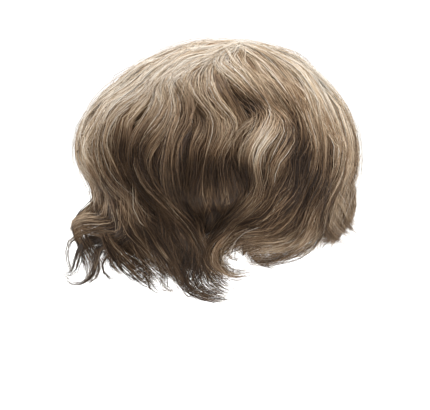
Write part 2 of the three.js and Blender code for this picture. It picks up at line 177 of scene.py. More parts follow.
# Tresses that the view shows: half width in mm, tint, height above the hair below in mm, share of
# the strands, whether the other side has its match, and the path in pixels from root to end
TRESSES = [dict(zip(("wide", "tint", "lift", "share", "twin", "path"), row)) for row in (
    (7, 0.08, 0.4, 1.0, True, (
        CROWN_PX, (215, 40), (190, 43), (168, 52), (145, 64), (120, 82), (100, 99), (87, 115), (79, 135),
        (77, 152), (82, 168), (92, 182), (99, 198), (100, 210))),
    (7, 0.06, 0.4, 1.0, True, (
        CROWN_PX, (214, 43), (185, 50), (160, 64), (135, 82), (112, 100), (97, 118), (87, 138), (86, 154),
        (95, 170), (104, 186), (112, 200), (118, 212))),
    (7, 0.04, 0.4, 1.0, True, (
        CROWN_PX, (215, 45), (182, 56), (155, 70), (138, 90), (120, 108), (105, 125), (99, 142), (103, 158),
        (112, 174), (124, 190), (138, 206), (152, 222))),
    (6, 0.02, 0.6, 1.0, True, (
        CROWN_PX, (216, 47), (180, 62), (157, 78), (145, 98), (132, 118), (124, 136), (124, 150),
        (128, 168), (138, 184), (152, 200), (165, 218), (178, 240))),
    (6, 0.00, 0.4, 1.0, True, (
        CROWN_PX, (217, 49), (178, 66), (160, 84), (158, 104), (150, 122), (140, 138), (133, 156),
        (138, 176), (152, 194), (168, 212), (184, 232), (196, 252), (202, 272))),
    (6, 0.00, 0.6, 1.0, True, (
        CROWN_PX, (219, 50), (182, 68), (166, 84), (172, 104), (166, 124), (154, 140), (144, 156),
        (146, 172), (154, 186), (170, 204), (186, 222), (200, 244), (206, 262))),
    (6, -0.04, 0.3, 1.0, True, (
        CROWN_PX, (221, 51), (190, 66), (174, 82), (182, 100), (184, 118), (177, 134), (171, 150),
        (168, 170), (172, 190), (182, 208), (194, 228), (204, 246))),
    (6, 0.02, 0.8, 1.0, True, (
        CROWN_PX, (222, 52), (196, 68), (184, 84), (191, 100), (197, 118), (197, 135), (192, 150),
        (188, 170), (189, 190), (195, 210))),
    (6, 0.04, 0.6, 1.0, True, (
        CROWN_PX, (225, 52), (206, 66), (198, 80), (204, 96), (214, 112), (219, 130), (216, 148),
        (209, 164), (206, 180), (208, 196), (212, 208))),
    (6, 0.00, 0.2, 0.8, True, (
        CROWN_PX, (227, 52), (214, 68), (212, 82), (222, 98), (234, 114), (237, 130), (230, 148),
        (224, 164), (224, 182), (228, 196), (232, 208))),
    (6, 0.10, 1.6, 1.2, True, (
        CROWN_PX, (228, 50), (220, 64), (230, 82), (245, 97), (257, 108), (262, 118), (256, 127),
        (246, 136), (239, 148), (238, 162), (242, 176), (248, 192))),
    (6, 0.10, 1.8, 1.2, True, (
        CROWN_PX, (232, 50), (226, 64), (240, 83), (257, 98), (270, 112), (274, 124), (269, 135),
        (259, 146), (253, 158), (253, 172), (257, 186), (254, 201), (243, 214), (226, 225))),
    (7, 0.10, 1.6, 1.2, True, (
        CROWN_PX, (236, 50), (238, 66), (252, 84), (268, 100), (282, 118), (287, 134), (282, 150),
        (272, 166), (268, 180), (262, 196), (250, 212), (230, 226), (216, 240))),
    (7, 0.06, 1.0, 1.2, True, (
        CROWN_PX, (240, 48), (252, 64), (266, 82), (280, 100), (291, 118), (295, 134), (291, 152),
        (286, 170), (281, 188), (271, 204), (255, 218), (236, 226), (219, 236), (210, 250), (214, 264),
        (226, 273))),
    (7, -0.04, 0.4, 1.0, True, (
        CROWN_PX, (246, 46), (262, 60), (280, 80), (294, 100), (302, 122), (306, 142), (303, 160),
        (298, 180), (291, 198), (279, 214), (258, 226), (236, 231), (220, 242), (214, 256), (222, 268),
        (236, 273))),
    (7, -0.06, 0.4, 1.0, True, (
        CROWN_PX, (250, 45), (272, 58), (292, 78), (306, 100), (312, 124), (316, 146), (314, 166),
        (309, 186), (302, 204), (290, 222), (270, 234), (246, 238), (230, 246), (220, 258), (230, 272),
        (246, 275))),
    (7, 0.08, 0.6, 1.0, True, (
        CROWN_PX, (254, 44), (280, 56), (304, 76), (318, 98), (323, 120), (327, 142), (326, 162),
        (320, 182), (314, 200), (309, 218), (298, 234), (276, 244), (252, 247), (234, 252), (226, 262))),
    (7, 0.06, 0.6, 1.0, True, (
        CROWN_PX, (258, 44), (289, 60), (313, 81), (328, 102), (338, 124), (341, 146), (340, 166),
        (333, 186), (326, 204), (320, 222), (313, 238), (298, 249), (276, 256), (256, 256), (240, 260))),
    (6, 0.10, 0.6, 0.9, True, (
        (322, 170), (318, 196), (313, 218), (304, 238), (288, 250), (268, 256), (248, 257), (236, 262))),
    (6, 0.04, 0.2, 0.9, True, (
        (330, 160), (324, 184), (314, 206), (302, 224), (288, 236), (270, 242), (250, 245), (232, 250))),
    (5, 0.16, 0.8, 0.7, True, (
        (332, 190), (326, 212), (317, 232), (303, 246), (284, 254), (262, 259), (244, 260))),
    (7, 0.10, 0.6, 1.0, False, (
        CROWN_PX, (262, 44), (296, 60), (321, 81), (337, 104), (347, 128), (350, 150), (348, 170),
        (342, 188), (336, 204), (331, 220), (324, 236), (312, 247))),
    (6, 0.12, 0.6, 0.9, False, (
        CROWN_PX, (262, 42), (298, 58), (323, 80), (341, 104), (353, 130), (356, 154), (354, 174),
        (346, 190), (340, 206), (337, 222), (334, 236))),
    (5, 0.16, 1.0, 0.6, False, ((338, 150), (342, 168), (346, 182), (354, 192), (352, 204), (358, 211))),
    (5, 0.16, 1.0, 0.6, False, ((334, 164), (337, 180), (342, 194), (348, 208), (350, 220), (354, 228))),
    (5, 0.14, 0.6, 0.6, False, ((328, 184), (332, 200), (338, 214), (343, 226), (350, 236))),
    (5, 0.06, 0.8, 0.7, False, (
        (350, 140), (353, 158), (351, 176), (347, 190), (346, 204), (350, 216), (356, 225))),
    (5, 0.02, 0.6, 0.7, False, ((344, 176), (343, 192), (345, 206), (349, 220), (353, 232))),
    (5, -0.04, 0.4, 0.7, False, ((338, 186), (339, 204), (341, 220), (346, 236))),
    (5, 0.00, 0.4, 0.6, False, ((324, 200), (324, 216), (328, 230), (336, 240), (343, 242))),
    (4, 0.16, 1.4, 0.5, False, ((340, 176), (342, 192), (345, 206), (350, 218), (357, 227))),
    (4, 0.15, 1.2, 0.5, False, ((334, 184), (337, 202), (342, 217), (349, 228), (358, 234))),
    (4, 0.14, 1.0, 0.5, False, ((328, 194), (331, 212), (338, 227), (347, 236), (356, 239))),
    (4, 0.16, 0.8, 0.4, False, ((320, 206), (325, 224), (333, 236), (342, 242), (351, 243))),
    (6, -0.04, 0.4, 0.8, True, ((132, 226), (142, 242), (154, 258), (160, 272), (168, 281))),
    (6, -0.05, 0.2, 0.9, True, ((150, 226), (160, 244), (168, 260), (174, 274), (180, 284))),
    (6, -0.06, 0.4, 1.0, True, ((172, 236), (180, 256), (184, 272), (192, 286), (206, 294), (224, 297))),
    (5, -0.04, 0.6, 0.8, True, ((186, 240), (194, 258), (198, 274), (206, 286), (220, 292), (236, 294))),
    (5, 0.00, 0.4, 0.7, True, ((196, 236), (204, 256), (210, 272), (222, 284), (238, 290))),
    (6, -0.02, 0.2, 0.9, True, ((140, 214), (152, 232), (162, 250), (170, 264), (179, 276), (190, 284))),
    (4, 0.16, 1.0, 0.6, True, (
        (262, 226), (243, 230), (226, 236), (214, 245), (209, 256), (212, 267), (222, 275), (236, 278))),
    (4, 0.20, 1.2, 0.5, True, (
        (258, 232), (240, 236), (226, 243), (219, 252), (218, 262), (224, 271), (236, 275), (248, 274))),
    (3, 0.10, 0.8, 0.4, True, (
        (250, 224), (230, 230), (214, 238), (206, 249), (204, 260), (208, 272), (218, 281), (232, 285))),
    (6, -0.10, 0.0, 0.9, False, ((122, 204), (110, 215), (99, 223), (88, 229), (77, 236))),
    (6, -0.12, -1.0, 0.5, False, ((130, 212), (116, 226), (105, 236), (95, 246), (88, 258), (86, 268))),
    (6, -0.06, 0.4, 0.8, True, ((112, 228), (124, 244), (138, 258), (150, 270), (152, 281))),
    (4, 0.22, 1.2, 0.5, True, ((318, 178), (316, 196), (313, 212), (309, 228), (300, 240), (284, 247))),
    (4, 0.18, 2.2, 0.6, True, (
        (100, 190), (108, 203), (108, 212), (97, 216), (84, 217), (75, 222), (70, 232))),
    (4, 0.12, 2.2, 0.7, False, (
        (104, 196), (115, 210), (115, 222), (102, 224), (88, 222), (77, 226), (71, 237))),
    (4, 0.08, 1.8, 0.7, False, (
        (112, 200), (122, 216), (121, 231), (107, 233), (92, 229), (80, 231), (73, 242))),
    (4, -0.04, 1.4, 0.6, False, (
        (120, 208), (130, 226), (124, 239), (110, 240), (96, 237), (86, 240), (79, 250), (73, 264),
        (65, 273))),
    (4, -0.06, 0.8, 0.5, False, (
        (126, 216), (130, 234), (118, 245), (104, 244), (95, 250), (95, 262), (92, 273), (85, 280),
        (75, 284), (66, 281))),
    (2, -0.16, 0.5, 0.3, False, (
        (106, 238), (94, 242), (85, 248), (80, 257), (78, 267), (72, 276), (65, 278), (60, 272))),
    (2, -0.14, 0.5, 0.3, False, (
        (100, 234), (88, 238), (80, 244), (76, 253), (74, 263), (71, 272), (65, 276), (61, 272))),
    (1.5, -0.14, 0.5, 0.2, False, (
        (104, 226), (92, 230), (80, 234), (71, 239), (67, 246), (67, 257), (70, 268), (72, 274))),
    (2, -0.16, 0.5, 0.3, False, (
        (110, 240), (98, 246), (94, 255), (95, 266), (92, 275), (84, 282), (74, 284), (66, 281),
        (62, 276))),
    (1.5, -0.14, 0.4, 0.2, False, ((108, 242), (97, 250), (97, 261), (99, 270), (95, 279), (88, 284))),
    (1.5, 0.26, 0.6, 0.2, False, ((98, 172), (93, 186), (90, 198), (92, 208), (96, 214))),
    (1.5, 0.22, 0.6, 0.2, False, ((101, 178), (97, 190), (94, 202), (89, 211), (84, 213))),
    (6, 0.00, 0.8, 1.0, True, ((96, 222), (106, 236), (118, 252), (133, 268), (149, 279), (162, 277))),
    (6, 0.04, 0.6, 1.0, True, ((104, 216), (118, 232), (134, 248), (150, 263), (166, 275), (178, 276))),
    (6, -0.04, 0.4, 1.0, True, ((116, 212), (134, 228), (150, 244), (162, 258), (172, 272))),
    (6, -0.04, 0.6, 1.0, True, ((128, 208), (148, 226), (166, 244), (177, 260), (181, 276), (186, 288))),
    (3, 0.02, 0.2, 0.3, True, ((112, 246), (104, 258), (103, 268), (110, 276), (120, 277))),
    (3, 0.04, 0.2, 0.15, True, ((140, 268), (150, 280), (152, 289), (164, 293), (178, 291))),
    (3, 0.04, 0.2, 0.15, True, ((158, 268), (162, 280), (162, 288), (172, 292), (184, 288))),
    (6, -0.06, 1.0, 1.0, True, (
        (160, 204), (178, 226), (192, 246), (197, 264), (192, 280), (198, 291), (218, 296), (238, 295))),
    (6, -0.04, 0.8, 1.0, True, ((170, 210), (186, 232), (188, 254), (183, 272), (187, 287), (202, 295))),
    (5, 0.02, 0.6, 0.8, True, ((182, 208), (196, 230), (204, 250), (208, 268), (217, 283), (232, 291))),
    (5, -0.10, 0.2, 0.6, False, ((134, 222), (120, 232), (106, 238), (94, 241), (85, 246))),
    (5, -0.06, 0.4, 0.8, True, ((100, 236), (110, 250), (123, 264), (138, 275), (150, 279))),
    (5, -0.06, 0.2, 0.5, True, ((112, 236), (109, 248), (107, 260), (110, 271))),
    (5, -0.08, 0.0, 0.7, False, ((140, 230), (126, 241), (112, 247), (101, 254), (97, 264), (100, 275))),
    (5, -0.02, 0.2, 0.6, True, ((118, 234), (112, 248), (110, 260), (115, 270), (124, 277))),
    # These three tresses lie sunk in the hollow above the hem: their dark tint is painted shade
    (9, -0.30, -7.0, 1.0, True, ((196, 190), (203, 208), (207, 224), (207, 240), (206, 256))),
    (9, -0.30, -7.0, 1.0, True, ((244, 186), (238, 204), (228, 220), (218, 236), (212, 252))),
    (9, -0.30, -7.0, 0.8, True, ((222, 186), (222, 204), (222, 222), (226, 238), (236, 250))),
    (5, 0.08, 0.6, 0.5, True, ((204, 236), (208, 252), (218, 267), (230, 277), (246, 275), (256, 270))),
)]


class ToupeeFit(bpy.types.PropertyGroup):
    width: bpy.props.FloatProperty(
        name="Width", description="Width inside, at the widest level", default=0.154, unit="LENGTH")
    length: bpy.props.FloatProperty(
        name="Length", description="Length inside, at the widest level", default=0.194, unit="LENGTH")
    crown_height: bpy.props.FloatProperty(
        name="Crown height", description="From the inside top down to the widest level",
        default=0.095, unit="LENGTH")
    hang_length: bpy.props.FloatProperty(
        name="Hang length", description="From the widest level down to the longest ends",
        default=0.094, unit="LENGTH")


class ToupeeStrands(bpy.types.PropertyGroup):
    guides: bpy.props.IntProperty(
        name="Guides", description="Guide strands of the even coat", default=475)
    tress_guides: bpy.props.IntProperty(
        name="Tress guides", description="Guide strands of the tresses of one side", default=775)
    twin_share: bpy.props.FloatProperty(
        name="Twin share", description="Strands of the other side's tresses for each of these",
        default=0.6)
    tresses_per_piece: bpy.props.IntProperty(
        name="Tresses per piece", description="Tresses that are joined in one piece", default=10)
    children: bpy.props.IntProperty(
        name="Children", description="Strands that follow each guide", default=8)
    diameter: bpy.props.FloatProperty(
        name="Diameter", description="Width of a drawn strand, coarser than a real hair so that it shows",
        default=0.00037, unit="LENGTH", precision=5)
    spread: bpy.props.FloatProperty(
        name="Spread", description="How far the strands lie from their guide", default=0.0028,
        unit="LENGTH", precision=5)
    frizz: bpy.props.FloatProperty(
        name="Frizz", description="How far a strand strays from a smooth line", default=0.0012,
        unit="LENGTH", precision=5)
    step: bpy.props.FloatProperty(
        name="Step", description="Distance between a strand's points", default=0.012, unit="LENGTH",
        precision=4)
    tress: bpy.props.FloatProperty(
        name="Tress", description="Width of the tresses that strands gather into", default=0.0075,
        unit="LENGTH", precision=4)
    seed: bpy.props.IntProperty(name="Seed", description="Seed of every random draw", default=11)


class ToupeeColours(bpy.types.PropertyGroup):
    # shade is a painted shade colour: the hair in the deep hollows is given it where only shade falls
    shade: bpy.props.StringProperty(
        name="Shade", description="Hair in the deep hollows, sRGB hex", default="#1f1610")
    dark: bpy.props.StringProperty(
        name="Dark", description="Darkest strands, sRGB hex", default="#3b2c1e")
    middle: bpy.props.StringProperty(
        name="Middle", description="Common strands, sRGB hex", default="#6a5541")
    light: bpy.props.StringProperty(
        name="Light", description="Light ash strands, sRGB hex", default="#978670")
    grey: bpy.props.StringProperty(
        name="Grey", description="Greyed strands, sRGB hex", default="#aea69b")
    lace: bpy.props.StringProperty(
        name="Lace", description="Thread of the scalp base, sRGB hex", default="#c9ae8f")
    floor: bpy.props.StringProperty(
        name="Floor", description="Studio floor, sRGB hex", default="#f4f4f2")


def linear(text):
    """Turns an sRGB hex colour into linear RGBA."""
    parts = [int(text[i:i + 2], 16) / 255 for i in (1, 3, 5)]
    return [c / 12.92 if c <= 0.04045 else ((c + 0.055) / 1.055) ** 2.4 for c in parts] + [1.0]


def add_node(tree, kind, settings=None, inputs=None):
    """Adds a node, with its settings, and its inputs as values or as sockets to link."""
    node = tree.nodes.new(kind)
    for name, value in (settings or {}).items():
        setattr(node, name, value)
    for key, value in (inputs or {}).items():
        if isinstance(value, bpy.types.NodeSocket):
            tree.links.new(value, node.inputs[key])
        else:
            node.inputs[key].default_value = value
    return node


def new_material(name):
    """An empty node material."""
    material = bpy.data.materials.new(name)
    material.use_nodes = True
    material.node_tree.nodes.clear()
    return material, material.node_tree


def colour_ramp(tree, factor, stops):
    """Adds a colour ramp from a list of (place, hex colour)."""
    ramp = add_node(tree, "ShaderNodeValToRGB", inputs={"Fac": factor}).color_ramp
    while len(ramp.elements) < len(stops):
        ramp.elements.new(0.5)
    for element, (place, colour) in zip(ramp.elements, stops):
        element.position = place
        element.color = linear(colour)
    return tree.nodes[-1].outputs["Color"]


def hair_stops(colours):
    """The hair's colours over its tint, from 0 for the painted shade of the deep hollows to 1 for a greyed
    strand.
    """
    return [(0.0, colours.shade), (0.22, colours.dark), (0.5, colours.middle), (0.78, colours.light),
            (1.0, colours.grey)]


def strand_material(colours):
    """Human hair in single strands, ash brown with some grey: satin cuticle with a long soft gloss."""
    material, tree = new_material("ash_brown_hair_strands")
    tint = add_node(tree, "ShaderNodeAttribute", {"attribute_name": "tint"})
    colour = colour_ramp(tree, tint.outputs["Fac"], hair_stops(colours))
    surface = add_node(tree, "ShaderNodeBsdfPrincipled", inputs={
        "Base Color": colour, "Roughness": 0.38, "Specular IOR Level": 0.10, "IOR": 1.55})
    add_node(tree, "ShaderNodeOutputMaterial", inputs={"Surface": surface.outputs["BSDF"]})
    return material


def under_hair_material(colours):
    """Human hair packed below the surface: painted dark, a painted shade for the gaps between the strands,
    with streaks along its flow and a fine comb of grooves.
    """
    material, tree = new_material("ash_brown_hair_mass")
    flow = add_node(tree, "ShaderNodeUVMap", {"uv_map": "flow"})
    stretch = add_node(tree, "ShaderNodeMapping", inputs={"Vector": flow.outputs["UV"],
                                                          "Scale": (1.0, 0.04, 1.0)})
    # the map is in millimetres: streaks 1.2 mm wide that run about 30 mm
    streaks = add_node(tree, "ShaderNodeTexNoise", inputs={
        "Vector": stretch.outputs["Vector"], "Scale": 0.8, "Detail": 4.0, "Roughness": 0.7})
    tint = add_node(tree, "ShaderNodeAttribute", {"attribute_name": "tint"})
    change = add_node(tree, "ShaderNodeMapRange", inputs={
        "Value": streaks.outputs["Fac"], "From Min": 0.3, "From Max": 0.7, "To Min": -0.2, "To Max": 0.3})
    total = add_node(tree, "ShaderNodeMath", {"operation": "ADD", "use_clamp": True}, {
        0: tint.outputs["Fac"], 1: change.outputs["Result"]})
    colour = colour_ramp(tree, total.outputs[0], hair_stops(colours))
    bump = add_node(tree, "ShaderNodeBump", inputs={
        "Height": streaks.outputs["Fac"], "Strength": 0.7, "Distance": 0.0008})
    surface = add_node(tree, "ShaderNodeBsdfPrincipled", inputs={
        "Base Color": colour, "Roughness": 0.5, "Specular IOR Level": 0.08, "IOR": 1.55,
        "Normal": bump.outputs["Normal"]})
    add_node(tree, "ShaderNodeOutputMaterial", inputs={"Surface": surface.outputs["BSDF"]})
    return material


def lace_material(colours):
    """Swiss lace: a matte woven net of thread cells about 1.2 mm across."""
    material, tree = new_material("swiss_lace")
    place = add_node(tree, "ShaderNodeTexCoord")
    cells = add_node(tree, "ShaderNodeTexVoronoi", {"feature": "DISTANCE_TO_EDGE"}, {
        "Vector": place.outputs["Object"], "Scale": 1 / LACE_CELL})
    thread = add_node(tree, "ShaderNodeMapRange", inputs={
        "Value": cells.outputs["Distance"], "From Min": 0.02, "From Max": 0.16, "To Min": 1.0, "To Max": 0.0})
    stops = [(0.0, "#8d735a"), (1.0, colours.lace)]
    colour = colour_ramp(tree, thread.outputs["Result"], stops)
    bump = add_node(tree, "ShaderNodeBump", inputs={
        "Height": thread.outputs["Result"], "Strength": 0.8, "Distance": 0.0003})
    surface = add_node(tree, "ShaderNodeBsdfPrincipled", inputs={
        "Base Color": colour, "Roughness": 0.8, "Specular IOR Level": 0.3, "Sheen Weight": 0.2,
        "Normal": bump.outputs["Normal"]})
    add_node(tree, "ShaderNodeOutputMaterial", inputs={"Surface": surface.outputs["BSDF"]})
    return material


def once(make, colours, made={}):
    """One copy of each material."""
    if make not in made:
        made[make] = make(colours)
    return made[make]


def smooth_step(x):
    """0 to 1 with soft ends."""
    x = np.clip(x, 0.0, 1.0)
    return x * x * (3 - 2 * x)


def directions(level, angle, fit):
    """Start and outward direction of the ray through a level and an angle, as arrays."""
    level, angle = np.broadcast_arrays(np.asarray(level, float), np.asarray(angle, float))
    polar = math.pi * np.minimum(level, WIDEST)
    drop = fit.hang_length * np.maximum(level - WIDEST, 0) / (1 - WIDEST)
    start = np.stack([0 * drop, 0 * drop, -fit.crown_height - drop], -1)
    way = np.stack([0.5 * fit.width * np.sin(polar) * np.sin(angle),
                    -0.5 * fit.length * np.sin(polar) * np.cos(angle),
                    fit.crown_height * np.cos(polar)], -1)
    return start, way / np.linalg.norm(way, axis=-1, keepdims=True)


def view_axes():
    """The camera's place, and the right, up and backward directions of its picture."""
    back = Vector((math.sin(VIEW_AZIMUTH) * math.cos(VIEW_ELEVATION),
                   -math.cos(VIEW_AZIMUTH) * math.cos(VIEW_ELEVATION), math.sin(VIEW_ELEVATION)))
    turn = back.to_track_quat("Z", "Y")
    return VIEW_TARGET + back * VIEW_DISTANCE, turn @ Vector((1, 0, 0)), turn @ Vector((0, 1, 0)), back


def ray_through(x, y):
    """Start and direction of the camera's ray through a pixel of the photograph."""
    eye, right, up, back = view_axes()
    per_px = IMAGE_MM_PER_PX * MM / VIEW_DISTANCE
    way = right * (x - IMAGE_WIDTH_PX / 2) * per_px - up * (y - IMAGE_HEIGHT_PX / 2) * per_px - back
    return eye, way.normalized()


def node_tree_of(names):
    """One search tree over the meshes of several CAD nodes."""
    points, faces = [], []
    for name in names:
        mesh, first = NODES[name].data, len(points)
        points.extend(v.co for v in mesh.vertices)
        faces.extend(tuple(first + i for i in p.vertices) for p in mesh.polygons)
    return BVHTree.FromPolygons(points, faces)


class Outside:
    """The outer surface of all the sections together, over level and angle."""
    ROWS, COLUMNS = 89, 120

    def __init__(self, fit):
        self.fit = fit
        self.bvh = node_tree_of([WHORL, *SECTIONS])
        self.levels = np.linspace(0, 1.1, self.ROWS)
        self.radius = np.full((self.ROWS, self.COLUMNS), np.nan)
        for row, level in enumerate(self.levels):
            for col in range(self.COLUMNS):
                start, way = directions(level, 2 * math.pi * col / self.COLUMNS, fit)
                start, way = Vector(start), Vector(way)
                hit = self.bvh.ray_cast(start + way * Surface.FAR, -way)
                if hit[0] is not None and hit[3] < Surface.FAR:
                    self.radius[row, col] = Surface.FAR - hit[3]
                else:
                    self.radius[row, col] = self.radius[row - 1, col] - 0.5 * MM
        wide = np.concatenate([self.radius[:, -2:], self.radius, self.radius[:, :2]], 1)
        for _ in range(2):
            wide = blurred(blurred(wide).T).T
        self.radius = wide[:, 2:-2]
        self.places = [self.locate(place) for place in PLACES]

    def locate(self, place):
        """A hollow or crest with its middle on the hair under its pixel."""
        start, way = ray_through(place["x"], place["y"])
        hit = self.bvh.ray_cast(start, way)
        middle = hit[0] if hit[0] is not None else start + way * VIEW_DISTANCE
        return {**place, "middle": np.array(middle)}

    def level_angle(self, points):
        """Level, angle and radius of points."""
        fit = self.fit
        across = points[..., 0] / (0.5 * fit.width)
        forward = -points[..., 1] / (0.5 * fit.length)
        rise = points[..., 2] + fit.crown_height
        polar = np.arctan2(np.hypot(across, forward), np.maximum(rise, 0) / fit.crown_height)
        level = polar / math.pi - 0.5 * np.minimum(rise, 0) / fit.hang_length
        angle = np.arctan2(across, forward)
        radius = np.sqrt(points[..., 0] ** 2 + points[..., 1] ** 2 + np.maximum(rise, 0) ** 2)
        return level, angle, radius

    def sample(self, level, angle):
        """Radius of the outer surface at levels and angles."""
        row = np.clip(level / self.levels[1], 0, self.ROWS - 1.001)
        col = np.remainder(angle / (2 * math.pi), 1) * self.COLUMNS
        i, j = row.astype(int), col.astype(int) % self.COLUMNS
        a, b, k = row - i, col - np.floor(col), (j + 1) % self.COLUMNS
        top = self.radius[i, j] * (1 - b) + self.radius[i, k] * b
        low = self.radius[i + 1, j] * (1 - b) + self.radius[i + 1, k] * b
        return top * (1 - a) + low * a

    def normal(self, points):
        """Smooth outward direction at points."""
        fit = self.fit
        rise = np.maximum(points[..., 2] + fit.crown_height, 0)
        way = np.stack([points[..., 0] / fit.width ** 2, points[..., 1] / fit.length ** 2,
                        rise / (2 * fit.crown_height) ** 2], -1)
        return way / np.linalg.norm(way, axis=-1, keepdims=True)

    def feel(self, points):
        """Change of tint, painted light and shade from the height and from the hollows and crests, and depth
        of sinking at points, the same on both sides.
        """
        _, right, up, back = (np.array(v) for v in view_axes())
        tint, sink = np.interp(points[..., 2], *LIGHTER_UP), np.zeros(points.shape[:-1])
        unit = IMAGE_MM_PER_PX * MM
        for side, weight in ((1, 1.0), (-1, OTHER_SIDE)):
            there = points * np.array([side, 1, 1])
            for place in self.places:
                away = there - place["middle"]
                u, v, w = away @ right, -(away @ up), away @ back
                c, s = math.cos(math.radians(place["turn"])), math.sin(math.radians(place["turn"]))
                share = np.exp(-((u * c + v * s) / (place["long"] * unit)) ** 2
                               - ((v * c - u * s) / (place["wide"] * unit)) ** 2 - (w / PLACE_DEPTH) ** 2)
                # painted shade in the hollows, painted highlight on the crests
                tint += weight * place["tint"] * share
                sink += weight * place["sink"] * MM * share
        return tint, sink


class Surface:
    """A CAD section read along its flow: its two edges, its outer and inner radius and its ends."""
    LEVELS = np.arange(0.0, 1.0001, 0.0125)
    ACROSS = 13
    FAR = 0.25
    SCAN = math.radians(2.0)
    FIRST = 0.0875  # the sections' roots lie just above this level

    def __init__(self, name, fit, cap):
        self.fit = fit
        self.trim = TRIMMED.get(name, 0.0)
        mesh = NODES[name].data
        self.bvh = BVHTree.FromPolygons([v.co for v in mesh.vertices], [p.vertices for p in mesh.polygons])
        self.cap = cap
        levels = self.LEVELS
        self.first = int(np.searchsorted(levels, self.FIRST))
        self.left = np.full(len(levels), np.nan)
        self.right = np.full(len(levels), np.nan)
        self.outer = np.full((len(levels), self.ACROSS), np.nan)
        self.inner = np.full((len(levels), self.ACROSS), np.nan)
        self.read_rows()
        self.tips = np.array([levels[np.where(~np.isnan(self.outer[:, k]))[0].max()]
                              for k in range(self.ACROSS)])
        self.fill_rows()

    def meet(self, level, angle, inwards, bvh=None):
        """Radius where a ray meets the section, or nan."""
        start, way = directions(level, angle, self.fit)
        start, way = Vector(start), Vector(way)
        if inwards:
            hit = (bvh or self.bvh).ray_cast(start + way * self.FAR, -way)
            return self.FAR - hit[3] if hit[0] is not None else math.nan
        hit = (bvh or self.bvh).ray_cast(start, way)
        return hit[3] if hit[0] is not None else math.nan

    def edge(self, level, inside, outside):
        """Angle of the section's edge, between two angles."""
        for _ in range(6):
            middle = 0.5 * (inside + outside)
            if math.isnan(self.meet(level, middle, True)):
                outside = middle
            else:
                inside = middle
        return inside

    def read_rows(self):
        """Reads the edges and radii at each level below the roots."""
        centre, reach = 0.0, math.pi
        for row in range(self.first, len(self.LEVELS)):
            level = self.LEVELS[row]
            scan = centre + np.arange(-reach, reach, self.SCAN)
            met = [a for a in scan if not math.isnan(self.meet(level, a, True))]
            if not met:
                break
            if row == self.first:
                centre = math.atan2(np.sin(met).mean(), np.cos(met).mean())
                met = [centre + math.remainder(a - centre, 2 * math.pi) for a in met]
                reach = math.radians(75)
            low = self.edge(level, min(met), min(met) - self.SCAN)
            high = self.edge(level, max(met), max(met) + self.SCAN)
            self.left[row], self.right[row] = low, high
            centre = 0.5 * (low + high)
            for k, share in enumerate(np.linspace(0.03, 0.97, self.ACROSS)):
                angle = low + (high - low) * share
                self.outer[row, k] = self.meet(level, angle, True)
                self.inner[row, k] = self.meet(level, angle, False)

    def fill_rows(self):
        """Carries the rows on above the roots and past the ends, and rounds off the CAD's facets."""
        for row in range(self.first - 1, -1, -1):
            self.left[row], self.right[row] = self.left[row + 1], self.right[row + 1]
            for k, share in enumerate(np.linspace(0.03, 0.97, self.ACROSS)):
                angle = self.left[row] + (self.right[row] - self.left[row]) * share
                top = self.meet(self.LEVELS[row], angle, True, self.cap)
                self.outer[row, k] = top if not math.isnan(top) else self.outer[row + 1, k]
                self.inner[row, k] = self.inner[row + 1, k]
        for row in range(self.first, len(self.LEVELS)):
            if math.isnan(self.left[row]) or self.right[row] - self.left[row] < math.radians(3):
                ahead = 0.8 * (self.left[row - 1] - self.left[row - 2])
                astern = 0.8 * (self.right[row - 1] - self.right[row - 2])
                both = 0.5 * (ahead + astern)
                self.left[row] = self.left[row - 1] + both
                self.right[row] = self.right[row - 1] + both
            for grid in (self.outer, self.inner):
                missing = np.isnan(grid[row])
                grid[row, missing] = grid[row - 1, missing]
        for _ in range(2):
            for grid in (self.outer, self.inner):
                grid[:] = blurred(grid)
                grid[:] = blurred(grid.T).T
            self.left = blurred(self.left[:, None])[:, 0]
            self.right = blurred(self.right[:, None])[:, 0]
        # strands fan out where the solid runs to a point
        middle, half = 0.5 * (self.left + self.right), 0.5 * (self.right - self.left)
        half = np.maximum(half, FAN * np.interp(np.minimum(self.LEVELS, WIDEST), self.LEVELS, half))
        self.left, self.right = middle - half, middle + half

    def sample(self, grid, level, share):
        """A radius at levels and shares of the section's width."""
        row = np.clip(np.asarray(level) / (self.LEVELS[1]), 0, len(self.LEVELS) - 1.001)
        col = np.clip(np.asarray(share), 0, 0.999) * (self.ACROSS - 1)
        i, j = row.astype(int), col.astype(int)
        a, b = row - i, col - j
        top = grid[i, j] * (1 - b) + grid[i, j + 1] * b
        low = grid[i + 1, j] * (1 - b) + grid[i + 1, j + 1] * b
        return top * (1 - a) + low * a

    def angle(self, level, share):
        """Angle at a level and a share of the section's width."""
        left = np.interp(level, self.LEVELS, self.left)
        right = np.interp(level, self.LEVELS, self.right)
        return left + (right - left) * share

    def tip(self, share):
        """Level where the section ends, at a share of its width."""
        return np.interp(np.clip(share, 0, 1), np.linspace(0, 1, self.ACROSS), self.tips) - self.trim

    def width(self, level):
        """Length across the section at a level."""
        across = self.angle(level, 1.0) - self.angle(level, 0.0)
        reach = self.sample(self.outer, level, 0.5) * np.sin(math.pi * np.minimum(level, WIDEST))
        return across * reach

    def point(self, level, share, radius):
        """Points at levels, shares of the width and radii."""
        start, way = directions(level, self.angle(level, share), self.fit)
        return start + way * radius[..., None]

    def length(self, level):
        """Length along the hair from the crown to a level."""
        arc = math.pi * (self.fit.crown_height + 0.02) * np.minimum(level, WIDEST)
        return arc + self.fit.hang_length * np.maximum(np.asarray(level) - WIDEST, 0) / (1 - WIDEST)


def blurred(grid):
    """Each row of a grid, softened with its neighbours."""
    ends = np.concatenate([grid[:1], grid, grid[-1:]])
    return 0.25 * ends[:-2] + 0.5 * ends[1:-1] + 0.25 * ends[2:]


